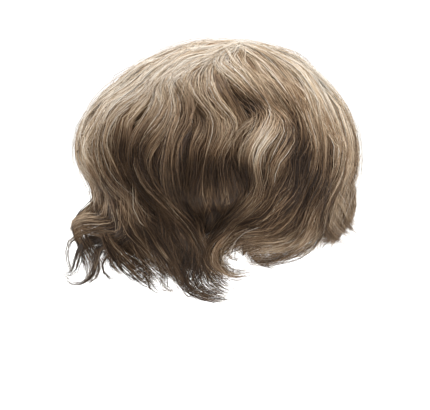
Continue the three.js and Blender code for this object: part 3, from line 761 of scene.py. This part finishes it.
def read_surfaces(context, made={}):
    """Reads every section once."""
    if not made:
        cap = node_tree_of([WHORL])
        for name in SECTIONS:
            made[name] = Surface(name, context.scene.toupee_fit, cap)
    return made


def read_outside(context, made=[]):
    """Reads the whole outer surface once."""
    if not made:
        made.append(Outside(context.scene.toupee_fit))
    return made[0]


def mesh_object(name, points, faces, material):
    """A smooth shaded mesh piece."""
    mesh = bpy.data.meshes.new(name)
    mesh.from_pydata([tuple(p) for p in points], [], faces)
    mesh.materials.append(material)
    mesh.shade_smooth()
    mesh.update()
    piece = bpy.data.objects.new(name, mesh)
    bpy.context.collection.objects.link(piece)
    return piece


def section_body(name, surface, outside, material, seed):
    """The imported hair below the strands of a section, as one closed body with combed grooves."""
    columns, backs, rows = 36, 9, 52
    cover = 2.4 * MM
    rng = np.random.default_rng(seed)
    phases = rng.uniform(0, 2 * math.pi, 4)
    levels = np.linspace(Surface.FIRST - 0.02, 1.0, rows)
    points, flow = [], []
    for row in range(rows):
        shares = np.concatenate([np.linspace(0.0, 1.0, columns), np.linspace(1.0, 0.0, backs)])
        locks = 0.075 * np.abs(np.sin(math.pi * 4 * shares + phases[3])) ** 0.7 + 0.01 * np.sin(45 * shares)
        ends = surface.tip(shares) - 0.075 - locks + LONGER_MASS.get(name, 0.0)
        share_down = row / (rows - 1)
        level = levels[0] + (ends - levels[0]) * share_down
        near_end = smooth_step((share_down - 0.7) / 0.3)
        narrow = 1 - 0.12 * near_end
        place = 0.5 + (shares - 0.5) * 1.08 * narrow
        outer = surface.sample(surface.outer, level, place) - cover * (1 - 0.3 * near_end)
        inner = surface.sample(surface.inner, level, place) + 0.3 * MM
        wander = 0.5 * np.sin(9 * level + phases[0])
        comb = np.sin(2 * math.pi * 8 * (shares + 0.1 * wander) + phases[1])
        comb += 0.6 * np.sin(2 * math.pi * 13 * (shares + 0.07 * wander) + phases[2])
        edge = (2 * shares - 1) ** 6
        outer = outer + 0.5 * MM * comb * (1 - near_end) - 1.2 * MM * edge
        outer = outer - outside.feel(surface.point(level, place, outer))[1]
        outer = np.maximum(outer, inner + 0.9 * MM)
        front = np.arange(len(shares)) < columns
        inner = inner + near_end * 0.8 * (outer - inner)
        radius = np.where(front, outer, inner)
        points.extend(surface.point(level, place, radius))
        flow.extend(zip(place * surface.width(level) / MM, surface.length(level) / MM))
    count = columns + backs
    faces = []
    for row in range(rows - 1):
        for i in range(count):
            a, b = row * count + i, row * count + (i + 1) % count
            faces.append((a, a + count, b + count, b))
    faces.append(tuple(range(count)))
    faces.append(tuple(reversed(range((rows - 1) * count, rows * count))))
    body = mesh_object(name + "_mass", points, faces, material)
    layer = body.data.uv_layers.new(name="flow")
    corners = np.array([flow[loop.vertex_index] for loop in body.data.loops])
    layer.data.foreach_set("uv", corners.ravel())
    store_tint(body, outside)
    return body


def store_tint(body, outside):
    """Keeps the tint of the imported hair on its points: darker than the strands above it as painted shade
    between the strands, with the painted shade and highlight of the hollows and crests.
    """
    points = np.array([v.co for v in body.data.vertices])
    change = outside.feel(points)[0]
    # painted shade: the packed hair starts darker, and takes more of the hollows' painted shade than of the
    # crests' painted highlight
    tint = np.clip(0.16 + np.where(change > 0, 0.45, 0.8) * change, 0, 1)
    body.data.attributes.new("tint", "FLOAT", "POINT").data.foreach_set("value", tint)


def guide_strand(surface, outside, sizes, rng, tresses, tints):
    """Points, tint, thickness and looseness of one guide strand of a section's even coat."""
    share = rng.uniform(-0.05, 1.05)
    start = rng.uniform(0.015, 0.42)
    stray = rng.random() < COAT_STRAYS
    end = surface.tip(share) - rng.exponential(0.04) + (rng.uniform(0.0, 0.05) if stray else 0.05)
    end = end - 0.03 * (2 * share - 1) ** 2
    end = max(end, start + 0.2)
    length = float(surface.length(end) - surface.length(start))
    count = max(6, round(length / sizes.step))
    down = np.linspace(0, 1, count)
    level = start + (end - start) * down
    along = surface.length(level)

    home = min(int(max(share, 0) * tresses), tresses - 1)
    middle = (home + 0.5) / tresses
    gather = 0.45 * smooth_step(down * 1.3 - 0.3) * (0.4 if stray else 1.0)
    place = share + (middle - share) * gather
    sway = (1.1 + 1.4 * down) * MM * (2.0 if stray else 1.0)
    wave = np.sin(2 * math.pi * along / (rng.uniform(42, 66) * MM) + tints[home] * 9 + rng.normal(0, 0.5))
    width = np.maximum(surface.width(level), 12 * MM)
    place = place + sway * wave / width

    outer = surface.sample(surface.outer, level, place)
    inner = surface.sample(surface.inner, level, place)
    thickness = np.maximum(outer - inner, 1.5 * MM)
    depth = rng.beta(1.1, 2.6) * 2.8 * MM * np.ones(count)
    rooting = np.exp(-(along - along[0]) / (11 * MM)) * (0.8 if start > 0.09 else 0.12)
    roundness = 1.1 * MM * (2 * (place - middle) * tresses) ** 2
    depth = depth + np.minimum(roundness, 1.2 * MM) * (1 - rooting)
    tint, sink = outside.feel(surface.point(level, place, outer - depth))
    depth = depth + rooting * np.maximum(thickness - depth - 1 * MM, 0) + sink
    depth = np.minimum(depth, thickness - 0.6 * MM)
    if stray:
        depth = depth - rng.uniform(0.2, 1.8) * MM * np.sin(math.pi * np.minimum(down * 1.1, 1))
    points = surface.point(level, place, outer - depth)
    # stray strands are painted lighter as a painted rim glow; the last term adds the painted light and shade
    # of the height, hollows and crests
    tint = 0.42 + (0.06 if stray else 0) + tints[home] + rng.normal(0, 0.07) + tint
    tint = tint + 0.08 * smooth_step(down * 1.6 - 0.6)
    # painted shade: strands that lie deeper below the surface are darker
    tint = np.clip(tint - 14 * np.maximum(depth, 0), 0, 1)
    return points, tint, np.full(count, rng.uniform(0.75, 1.15)), np.full(count, 3.5 if stray else 1.0)


def tress_path(tress, outside):
    """The middle line of a tress, laid on the hair under its pixels, as evenly spaced points."""
    rays = [ray_through(x, y) for x, y in tress["path"]]
    _, _, _, back = view_axes()
    reach = []
    for start, way in rays:
        hit = outside.bvh.ray_cast(start, way)
        near = hit[0] is not None and (hit[0] - VIEW_TARGET).dot(back) > -FAR_SIDE
        reach.append(hit[3] if near else math.nan)
    reach = np.array(reach)
    known = np.where(~np.isnan(reach))[0]
    reach = np.interp(np.arange(len(reach)), known, reach[known])
    for _ in range(2):
        smooth = blurred(reach[:, None])[:, 0]
        reach = np.where(np.arange(len(reach)) < len(reach) - 1, smooth, reach)
    points = np.array([start + way * r for (start, way), r in zip(rays, reach)])
    line = spline(points, TRESS_STEP_MM * MM)
    level, angle, radius = outside.level_angle(line)
    sunk = np.maximum(outside.sample(level, angle) - radius, 0) * (level < 0.9) * (line[:, 1] > FREE_FRONT)
    return line + directions(level, angle, outside.fit)[1] * sunk[:, None]


def spline(points, step):
    """Evenly spaced points on a Catmull-Rom curve through the given ones."""
    ends = np.concatenate([2 * points[:1] - points[1:2], points, 2 * points[-1:] - points[-2:-1]])
    fine = []
    for a, b, c, d in zip(ends, ends[1:], ends[2:], ends[3:]):
        for t in np.linspace(0, 1, 8, endpoint=False):
            fine.append(0.5 * (2 * b + (c - a) * t + (2 * a - 5 * b + 4 * c - d) * t ** 2
                               + (3 * b - a - 3 * c + d) * t ** 3))
    fine = np.array(fine + [points[-1]])
    gone = np.concatenate([[0], np.cumsum(np.linalg.norm(np.diff(fine, axis=0), axis=1))])
    places = np.linspace(0, gone[-1], max(4, round(gone[-1] / step)))
    return np.stack([np.interp(places, gone, fine[:, k]) for k in range(3)], -1)


def other_side(points, outside):
    """The same line on the piece's other side, at the same height above the hair there."""
    level, angle, radius = outside.level_angle(points)
    change = outside.sample(level, -angle) - outside.sample(level, angle)
    flipped = points * np.array([-1, 1, 1])
    _, way = directions(np.minimum(level, 1.1), -angle, outside.fit)
    return flipped + way * change[..., None]


def tress_strand(tress, path, outside, sizes, rng, wander):
    """Points, tint, thickness and looseness of one guide strand of a tress."""
    steps = len(path)
    length = steps * TRESS_STEP_MM * MM
    long_tress = length > LONG_TRESS
    start = rng.uniform(0, 0.38) if long_tress else rng.uniform(0, 0.12)
    hook = tress["wide"] < HOOK_WIDE
    end = 1 - rng.exponential(0.02 if long_tress else 0.03 if hook else 0.12)
    stray = rng.random() < TRESS_STRAYS
    end = max(end, start + 0.35)
    count = max(6, round(length * (end - start) / (sizes.step * (0.75 if long_tress else 0.6))))
    down = np.linspace(start, end, count)
    gone = down * (steps - 1)
    i = np.minimum(gone.astype(int), steps - 2)
    middle = path[i] + (path[i + 1] - path[i]) * (gone - i)[:, None]
    ahead = path[np.minimum(i + 2, steps - 1)] - path[np.maximum(i - 1, 0)]
    ahead /= np.linalg.norm(ahead, axis=-1, keepdims=True)
    normal = outside.normal(middle)
    normal -= ahead * np.sum(normal * ahead, -1, keepdims=True)
    normal /= np.linalg.norm(normal, axis=-1, keepdims=True)
    aside = np.cross(ahead, normal)

    side = rng.uniform(-1, 1)
    width = tress["wide"] * MM * (0.65 + 0.45 * np.sin(math.pi * np.clip(down, 0, 1) ** 0.8))
    if stray:
        width = width * 1.7
    local = side + 0.25 * np.sin(2 * math.pi * down * length / (0.055 + 0.02 * wander) + 6 * wander + side)
    dome = 1 - side ** 2 if tress["lift"] > 0 else 1
    height = tress["lift"] * MM * dome * smooth_step(down / 0.15) + rng.uniform(-1.6, 0.3) * MM
    if stray:
        height = height + rng.uniform(0.5, 3.0) * MM * smooth_step((down - start) * length / (40 * MM))
    root = np.exp(-(down - start) * length / (12 * MM)) * (4.0 * MM if start > 0.03 or not long_tress else 0)
    tint, sink = outside.feel(middle + aside * (local * width)[:, None])
    height = height - root - 0.85 * sink
    points = middle + aside * (local * width)[:, None] + normal * height[:, None]
    # stray strands are painted lighter as a painted rim glow; the last term adds the painted light and shade
    # of the height, hollows and crests
    tint = 0.45 + (0.10 if stray else 0) + tress["tint"] + rng.normal(0, 0.08) + 0.06 * wander + tint
    # the sides of a tress are darker: painted shade in the creases between tresses
    tint = tint + 0.07 * smooth_step((down - 0.7) / 0.3) - 0.05 * abs(side)
    loose = np.full(count, 2.6 if stray else min(1.0, tress["wide"] / 5))
    return points, np.clip(tint, 0, 1), np.full(count, rng.uniform(0.7, 1.1) * (0.7 if stray else 1)), loose


def strand_tree():
    """Geometry Nodes that turn guide polylines into groups of thin closed strands."""
    tree = bpy.data.node_groups.new("Hair Strands", "GeometryNodeTree")
    face = tree.interface
    face.new_socket("Geometry", in_out="OUTPUT", socket_type="NodeSocketGeometry")
    face.new_socket("Guides", in_out="INPUT", socket_type="NodeSocketGeometry")
    for name, kind in (("Children", "Int"), ("Radius", "Float"), ("Spread", "Float"), ("Frizz", "Float"),
                       ("Seed", "Int"), ("Material", "Material")):
        face.new_socket(name, in_out="INPUT", socket_type="NodeSocket" + kind)
    given = add_node(tree, "NodeGroupInput").outputs
    lines = add_node(tree, "GeometryNodeMeshToCurve", inputs={"Mesh": given["Guides"]})
    many = add_node(tree, "GeometryNodeDuplicateElements", {"domain": "SPLINE"}, {
        "Geometry": lines.outputs[0], "Amount": given["Children"]})
    index = add_node(tree, "GeometryNodeInputIndex").outputs[0]
    down = add_node(tree, "GeometryNodeSplineParameter").outputs["Factor"]

    # each strand's own offset from its guide, drawn in to the guide at its end
    aside = add_node(tree, "FunctionNodeRandomValue", {"data_type": "FLOAT_VECTOR"}, {
        0: (-1, -1, -1), 1: (1, 1, 1), "ID": index, "Seed": given["Seed"]})
    own = add_node(tree, "GeometryNodeFieldOnDomain", {"domain": "CURVE", "data_type": "FLOAT_VECTOR"},
                   {0: aside.outputs[0]})
    square = add_node(tree, "ShaderNodeMath", {"operation": "POWER"}, {0: down, 1: 1.6})
    drawn_in = add_node(tree, "ShaderNodeMath", {"operation": "MULTIPLY_ADD"}, {
        0: square.outputs[0], 1: -0.12, 2: 1.0})
    reach = add_node(tree, "ShaderNodeMath", {"operation": "MULTIPLY"}, {
        0: drawn_in.outputs[0], 1: given["Spread"]})
    loose = add_node(tree, "GeometryNodeInputNamedAttribute", {"data_type": "FLOAT"}, {"Name": "loose"})
    freed = add_node(tree, "ShaderNodeMath", {"operation": "MULTIPLY"}, {
        0: reach.outputs[0], 1: loose.outputs[0]})
    spread = add_node(tree, "ShaderNodeVectorMath", {"operation": "SCALE"}, {
        0: own.outputs[0], "Scale": freed.outputs[0]})
    # pressed flat along the outward direction, so that the strands lie beside their guide
    out = add_node(tree, "GeometryNodeInputNamedAttribute", {"data_type": "FLOAT_VECTOR"}, {"Name": "out"})
    rise = add_node(tree, "ShaderNodeVectorMath", {"operation": "DOT_PRODUCT"}, {
        0: spread.outputs[0], 1: out.outputs[0]})
    pressed = add_node(tree, "ShaderNodeMath", {"operation": "MULTIPLY"}, {0: rise.outputs["Value"], 1: -0.7})
    press = add_node(tree, "ShaderNodeVectorMath", {"operation": "SCALE"}, {
        0: out.outputs[0], "Scale": pressed.outputs[0]})
    offset = add_node(tree, "ShaderNodeVectorMath", {"operation": "ADD"}, {
        0: spread.outputs[0], 1: press.outputs[0]})

    # frizz: a slow wander, different on each strand, that grows towards its end
    number = add_node(tree, "FunctionNodeRandomValue", {"data_type": "FLOAT"}, {
        2: 0.0, 3: 60.0, "ID": index, "Seed": given["Seed"]})
    own_number = add_node(tree, "GeometryNodeFieldOnDomain", {"domain": "CURVE", "data_type": "FLOAT"},
                          {0: number.outputs[1]})
    position = add_node(tree, "GeometryNodeInputPosition").outputs[0]
    noise = add_node(tree, "ShaderNodeTexNoise", {"noise_dimensions": "4D"}, {
        "Vector": position, "W": own_number.outputs[0], "Scale": 1 / FRIZZ_WAVE, "Detail": 1.0})
    centred = add_node(tree, "ShaderNodeVectorMath", {"operation": "SUBTRACT"}, {
        0: noise.outputs["Color"], 1: (0.5, 0.5, 0.5)})
    growing = add_node(tree, "ShaderNodeMath", {"operation": "MULTIPLY_ADD"}, {0: down, 1: 3.2, 2: 0.8})
    amount = add_node(tree, "ShaderNodeMath", {"operation": "MULTIPLY"}, {
        0: growing.outputs[0], 1: given["Frizz"]})
    wander = add_node(tree, "ShaderNodeVectorMath", {"operation": "SCALE"}, {
        0: centred.outputs[0], "Scale": amount.outputs[0]})
    moved = add_node(tree, "ShaderNodeVectorMath", {"operation": "ADD"}, {
        0: offset.outputs[0], 1: wander.outputs[0]})
    placed = add_node(tree, "GeometryNodeSetPosition", inputs={
        "Geometry": many.outputs[0], "Offset": moved.outputs[0]})

    # a strand's own lighter or darker tint
    tint = add_node(tree, "GeometryNodeInputNamedAttribute", {"data_type": "FLOAT"}, {"Name": "tint"})
    own_seed = add_node(tree, "ShaderNodeMath", {"operation": "ADD"}, {0: given["Seed"], 1: 500.0})
    jitter = add_node(tree, "FunctionNodeRandomValue", {"data_type": "FLOAT"}, {
        2: -TINT_SPREAD, 3: TINT_SPREAD, "ID": index, "Seed": given["Seed"]})
    own_jitter = add_node(tree, "GeometryNodeFieldOnDomain", {"domain": "CURVE", "data_type": "FLOAT"},
                          {0: jitter.outputs[1]})
    tinted = add_node(tree, "ShaderNodeMath", {"operation": "ADD", "use_clamp": True}, {
        0: tint.outputs[0], 1: own_jitter.outputs[0]})
    chance = add_node(tree, "FunctionNodeRandomValue", {"data_type": "FLOAT"}, {
        2: 0.0, 3: 1.0, "ID": index, "Seed": own_seed.outputs[0]})
    own_chance = add_node(tree, "GeometryNodeFieldOnDomain", {"domain": "CURVE", "data_type": "FLOAT"},
                          {0: chance.outputs[1]})
    is_grey = add_node(tree, "ShaderNodeMath", {"operation": "GREATER_THAN"}, {
        0: own_chance.outputs[0], 1: 1 - GREY_STRANDS})
    greyed = add_node(tree, "ShaderNodeMath", {"operation": "MULTIPLY_ADD", "use_clamp": True}, {
        0: is_grey.outputs[0], 1: GREYING, 2: tinted.outputs[0]})
    stored = add_node(tree, "GeometryNodeStoreNamedAttribute", {"data_type": "FLOAT", "domain": "POINT"}, {
        "Geometry": placed.outputs[0], "Name": "tint", "Value": greyed.outputs[0]})

    # strands end one after another, and thin out towards their ends
    shorter = add_node(tree, "FunctionNodeRandomValue", {"data_type": "FLOAT"}, {
        2: 0.93, 3: 1.0, "ID": index, "Seed": own_seed.outputs[0]})
    trimmed = add_node(tree, "GeometryNodeTrimCurve", {"mode": "FACTOR"}, {
        "Curve": stored.outputs[0], "End": shorter.outputs[1]})
    thick = add_node(tree, "GeometryNodeInputNamedAttribute", {"data_type": "FLOAT"}, {"Name": "thick"})
    cube = add_node(tree, "ShaderNodeMath", {"operation": "POWER"}, {0: down, 1: 3.0})
    taper = add_node(tree, "ShaderNodeMath", {"operation": "MULTIPLY_ADD"}, {
        0: cube.outputs[0], 1: -0.75, 2: 1.0})
    radius = add_node(tree, "ShaderNodeMath", {"operation": "MULTIPLY"}, {
        0: taper.outputs[0], 1: given["Radius"]})
    own_radius = add_node(tree, "ShaderNodeMath", {"operation": "MULTIPLY"}, {
        0: radius.outputs[0], 1: thick.outputs[0]})
    ring = add_node(tree, "GeometryNodeCurvePrimitiveCircle", inputs={"Resolution": 3, "Radius": 1.0})
    tubes = add_node(tree, "GeometryNodeCurveToMesh", inputs={
        "Curve": trimmed.outputs[0], "Profile Curve": ring.outputs[0], "Scale": own_radius.outputs[0],
        "Fill Caps": True})
    smoothed = add_node(tree, "GeometryNodeSetShadeSmooth", inputs={"Geometry": tubes.outputs[0]})
    real = add_node(tree, "GeometryNodeRealizeInstances", inputs={"Geometry": smoothed.outputs[0]})
    done = add_node(tree, "GeometryNodeSetMaterial", inputs={
        "Geometry": real.outputs[0], "Material": given["Material"]})
    add_node(tree, "NodeGroupOutput", inputs={0: done.outputs[0]})
    return tree


def grow_strands(name, lines, normal, tree, sizes, material, seed):
    """Runs the strand nodes over a section's guides and keeps the result as a plain mesh."""
    points = np.concatenate([line[0] for line in lines])
    starts = np.cumsum([0] + [len(line[0]) for line in lines])
    edges = [(i, i + 1) for a, b in zip(starts, starts[1:]) for i in range(a, b - 1)]
    mesh = bpy.data.meshes.new(name + "_guides")
    mesh.from_pydata([tuple(p) for p in points], edges, [])
    for label, column in (("tint", 1), ("thick", 2), ("loose", 3)):
        values = np.concatenate([line[column] for line in lines])
        mesh.attributes.new(label, "FLOAT", "POINT").data.foreach_set("value", values)
    out = mesh.attributes.new("out", "FLOAT_VECTOR", "POINT")
    out.data.foreach_set("vector", normal(points).ravel())
    holder = bpy.data.objects.new(name + "_guides", mesh)
    bpy.context.collection.objects.link(holder)
    modifier = holder.modifiers.new("Strands", "NODES")
    modifier.node_group = tree
    values = {"Children": sizes.children, "Radius": 0.5 * sizes.diameter, "Spread": sizes.spread,
              "Frizz": sizes.frizz, "Seed": seed, "Material": material}
    for item in tree.interface.items_tree:
        if item.in_out == "INPUT" and item.name in values:
            modifier[item.identifier] = values[item.name]
    depsgraph = bpy.context.evaluated_depsgraph_get()
    grown = bpy.data.meshes.new_from_object(holder.evaluated_get(depsgraph))
    grown.name = name
    bpy.data.objects.remove(holder)
    piece = bpy.data.objects.new(name, grown)
    bpy.context.collection.objects.link(piece)
    return piece


def settle(piece, slot, *nodes):
    """Fixes a finished piece to the frame."""
    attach(piece, "root")
    if nodes:
        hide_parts(*nodes)


class TOUPEE_OT_camera(bpy.types.Operator):
    """Places the camera at the photograph's angle"""
    bl_idname = "toupee.camera"
    bl_label = "Camera"

    def execute(self, context):
        eye, _, _, back = view_axes()
        data = bpy.data.cameras.new("camera")
        data.sensor_width = SENSOR_MM
        data.lens = SENSOR_MM * VIEW_DISTANCE / (IMAGE_WIDTH_PX * IMAGE_MM_PER_PX * MM)
        data.clip_end = 50
        camera = bpy.data.objects.new("camera", data)
        camera.location = eye
        camera.rotation_euler = back.to_track_quat("Z", "Y").to_euler()
        context.collection.objects.link(camera)
        context.scene.camera = camera
        return {"FINISHED"}


class TOUPEE_OT_base(bpy.types.Operator):
    """Gives the scalp base its lace"""
    bl_idname = "toupee.base"
    bl_label = "Scalp base"

    def execute(self, context):
        node = NODES[BASE]
        node.data.materials.clear()
        node.data.materials.append(once(lace_material, context.scene.toupee_colours))
        return {"FINISHED"}


class TOUPEE_OT_masses(bpy.types.Operator):
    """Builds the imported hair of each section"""
    bl_idname = "toupee.masses"
    bl_label = "Packed hair"

    def execute(self, context):
        material = once(under_hair_material, context.scene.toupee_colours)
        for number, (name, surface) in enumerate(read_surfaces(context).items()):
            seed = context.scene.toupee_strands.seed + number
            body = section_body(name, surface, read_outside(context), material, seed)
            settle(body, SLOT_OF[name], name)
        return {"FINISHED"}


class TOUPEE_OT_whorl(bpy.types.Operator):
    """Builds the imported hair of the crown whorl"""
    bl_idname = "toupee.whorl"
    bl_label = "Crown whorl"

    def execute(self, context):
        surfaces = read_surfaces(context)
        any_surface = next(iter(surfaces.values()))
        rings, sides, rim = 8, 72, 0.078
        points, faces = [], []
        for outer in (True, False):
            for ring in range(rings + 1):
                for side in range(sides if ring else 1):
                    level, angle = rim * ring / rings, 2 * math.pi * side / sides
                    start, way = directions(level, angle, any_surface.fit)
                    found = any_surface.meet(max(level, 0.002), angle, outer, any_surface.cap)
                    comb = 0.4 * MM * math.sin(18 * angle + 60 * level) * ring / rings
                    radius = found - 1.6 * MM + comb if outer else found + 0.3 * MM
                    points.append(start + way * radius)
        per = 1 + rings * sides
        for base, turn in ((0, 1), (per, -1)):
            for side in range(sides):
                after = (side + 1) % sides
                faces.append((base, base + 1 + side, base + 1 + after)[::turn])
                for ring in range(rings - 1):
                    a = base + 1 + ring * sides
                    faces.append((a + side, a + sides + side, a + sides + after, a + after)[::turn])
        last = 1 + (rings - 1) * sides
        for side in range(sides):
            after = (side + 1) % sides
            faces.append((last + side, per + last + side, per + last + after, last + after))
        material = once(under_hair_material, context.scene.toupee_colours)
        body = mesh_object(WHORL + "_mass", points, faces, material)
        layer = body.data.uv_layers.new(name="flow")
        for loop in body.data.loops:
            x, y, _ = body.data.vertices[loop.vertex_index].co / MM
            layer.data[loop.index].uv = (14 * math.atan2(y, x), math.hypot(x, y))
        store_tint(body, read_outside(context))
        settle(body, SLOT_OF[WHORL], WHORL)
        return {"FINISHED"}


class TOUPEE_OT_strands(bpy.types.Operator):
    """Grows the strands of each section along its flow"""
    bl_idname = "toupee.strands"
    bl_label = "Strands"

    def execute(self, context):
        sizes = context.scene.toupee_strands
        material = once(strand_material, context.scene.toupee_colours)
        surfaces, outside = read_surfaces(context), read_outside(context)
        tree = strand_tree()
        areas = {}
        for name, surface in surfaces.items():
            middle = np.linspace(0.1, float(surface.tips.max()), 30)
            area = float(np.mean(surface.width(middle)) * surface.length(middle[-1]))
            areas[name] = area * DENSER_COAT.get(name, 0.8)
        whole = sum(areas.values())
        for number, (name, surface) in enumerate(surfaces.items()):
            rng = np.random.default_rng(100 * sizes.seed + number)
            tresses = max(3, round(float(surface.width(np.array(0.4))) / sizes.tress))
            tints = rng.normal(0, 0.07, tresses)
            guides = round(sizes.guides * areas[name] / whole)
            lines = [guide_strand(surface, outside, sizes, rng, tresses, tints) for _ in range(guides)]
            piece = grow_strands(name + "_strands", lines, outside.normal, tree, sizes, material,
                                 sizes.seed + number)
            settle(piece, SLOT_OF[name])
        return {"FINISHED"}


class TOUPEE_OT_tresses(bpy.types.Operator):
    """Grows the waved tresses over the even coat, on both sides"""
    bl_idname = "toupee.tresses"
    bl_label = "Tresses"

    def execute(self, context):
        sizes, outside = context.scene.toupee_strands, read_outside(context)
        material = once(strand_material, context.scene.toupee_colours)
        tree = bpy.data.node_groups["Hair Strands"]
        whole = sum(t["share"] for t in TRESSES)
        groups = {}
        for number, tress in enumerate(TRESSES):
            path = tress_path(tress, outside)
            sides = [("left", path, 1.0)]
            if tress["twin"]:
                sides.append(("right", other_side(path, outside), sizes.twin_share))
            for side, line, amount in sides:
                rng = np.random.default_rng(1000 + 10 * number + (side == "right"))
                wander = rng.normal(0, 0.5)
                guides = max(3, round(sizes.tress_guides * amount * tress["share"] / whole))
                group = groups.setdefault((side, number // sizes.tresses_per_piece), [])
                group.extend(tress_strand(tress, line, outside, sizes, rng, wander) for _ in range(guides))
        for (side, number), lines in groups.items():
            name = "%s_tresses_%d" % (side, number + 1)
            piece = grow_strands(name, lines, outside.normal, tree, sizes, material, 40 + number)
            settle(piece, SLOT_OF["forelock_curl" if number % 2 else "left_side_wave"])
        return {"FINISHED"}


class TOUPEE_OT_stage(bpy.types.Operator):
    """Adds the plain floor and the soft studio light"""
    bl_idname = "toupee.stage"
    bl_label = "Stage"

    def execute(self, context):
        colours = context.scene.toupee_colours
        material, tree = new_material("matte_studio_floor")
        surface = add_node(tree, "ShaderNodeBsdfPrincipled", inputs={
            "Base Color": linear(colours.floor), "Roughness": 0.9})
        add_node(tree, "ShaderNodeOutputMaterial", inputs={"Surface": surface.outputs["BSDF"]})
        half, height = FLOOR_HALF, CAD_LOW[2] - FLOOR_DROP
        corners = [(-half, -half, height), (half, -half, height), (half, half, height), (-half, half, height)]
        floor = mesh_object("studio_floor", corners, [(0, 1, 2, 3)], material)

        world = bpy.data.worlds.new("studio")
        world.use_nodes = True
        world.node_tree.nodes["Background"].inputs["Color"].default_value = (1, 1, 1, 1)
        world.node_tree.nodes["Background"].inputs["Strength"].default_value = WORLD_LIGHT
        context.scene.world = world
        lights = (
            {"name": "key", "place": (0.5, -0.4, 1.9), "size": 0.9, "power": 130},
            {"name": "back", "place": (0.4, 1.7, 0.2), "size": 1.0, "power": 45},
            {"name": "front", "place": (0.1, -1.7, 0.3), "size": 1.0, "power": 25},
        )
        for light in lights:
            data = bpy.data.lights.new(light["name"], "AREA")
            data.size, data.energy = light["size"], light["power"]
            lamp = bpy.data.objects.new(light["name"], data)
            lamp.location = light["place"]
            aim = Vector(light["place"]) - LIGHT_AIM
            lamp.rotation_euler = aim.to_track_quat("Z", "Y").to_euler()
            context.collection.objects.link(lamp)
        context.scene.view_settings.view_transform = "Standard"
        return {"FINISHED"}


class TOUPEE_PT_panel(bpy.types.Panel):
    """Lists the steps that build the toupee"""
    bl_idname = "TOUPEE_PT_panel"
    bl_label = "Toupee"
    bl_space_type = "VIEW_3D"
    bl_region_type = "UI"
    bl_category = "Toupee"

    def draw(self, context):
        for operator in STEPS:
            self.layout.operator(operator.bl_idname)
        for group in GROUPS:
            owner = getattr(context.scene, group)
            for name in GROUPS[group].__annotations__:
                self.layout.prop(owner, name)


STEPS = (TOUPEE_OT_camera, TOUPEE_OT_base, TOUPEE_OT_whorl, TOUPEE_OT_masses, TOUPEE_OT_strands,
         TOUPEE_OT_tresses, TOUPEE_OT_stage)
GROUPS = {"toupee_fit": ToupeeFit, "toupee_strands": ToupeeStrands, "toupee_colours": ToupeeColours}


def register():
    for name, group in GROUPS.items():
        bpy.utils.register_class(group)
        setattr(bpy.types.Scene, name, bpy.props.PointerProperty(type=group))
    for part in (*STEPS, TOUPEE_PT_panel):
        bpy.utils.register_class(part)


def unregister():
    for part in reversed((*STEPS, TOUPEE_PT_panel)):
        bpy.utils.unregister_class(part)
    for name, group in GROUPS.items():
        delattr(bpy.types.Scene, name)
        bpy.utils.unregister_class(group)


def main():
    register()
    bpy.ops.toupee.camera()
    bpy.ops.toupee.base()
    bpy.ops.toupee.whorl()
    bpy.ops.toupee.masses()
    bpy.ops.toupee.strands()
    bpy.ops.toupee.tresses()
    bpy.ops.toupee.stage()


if __name__ == "__main__":
    main()
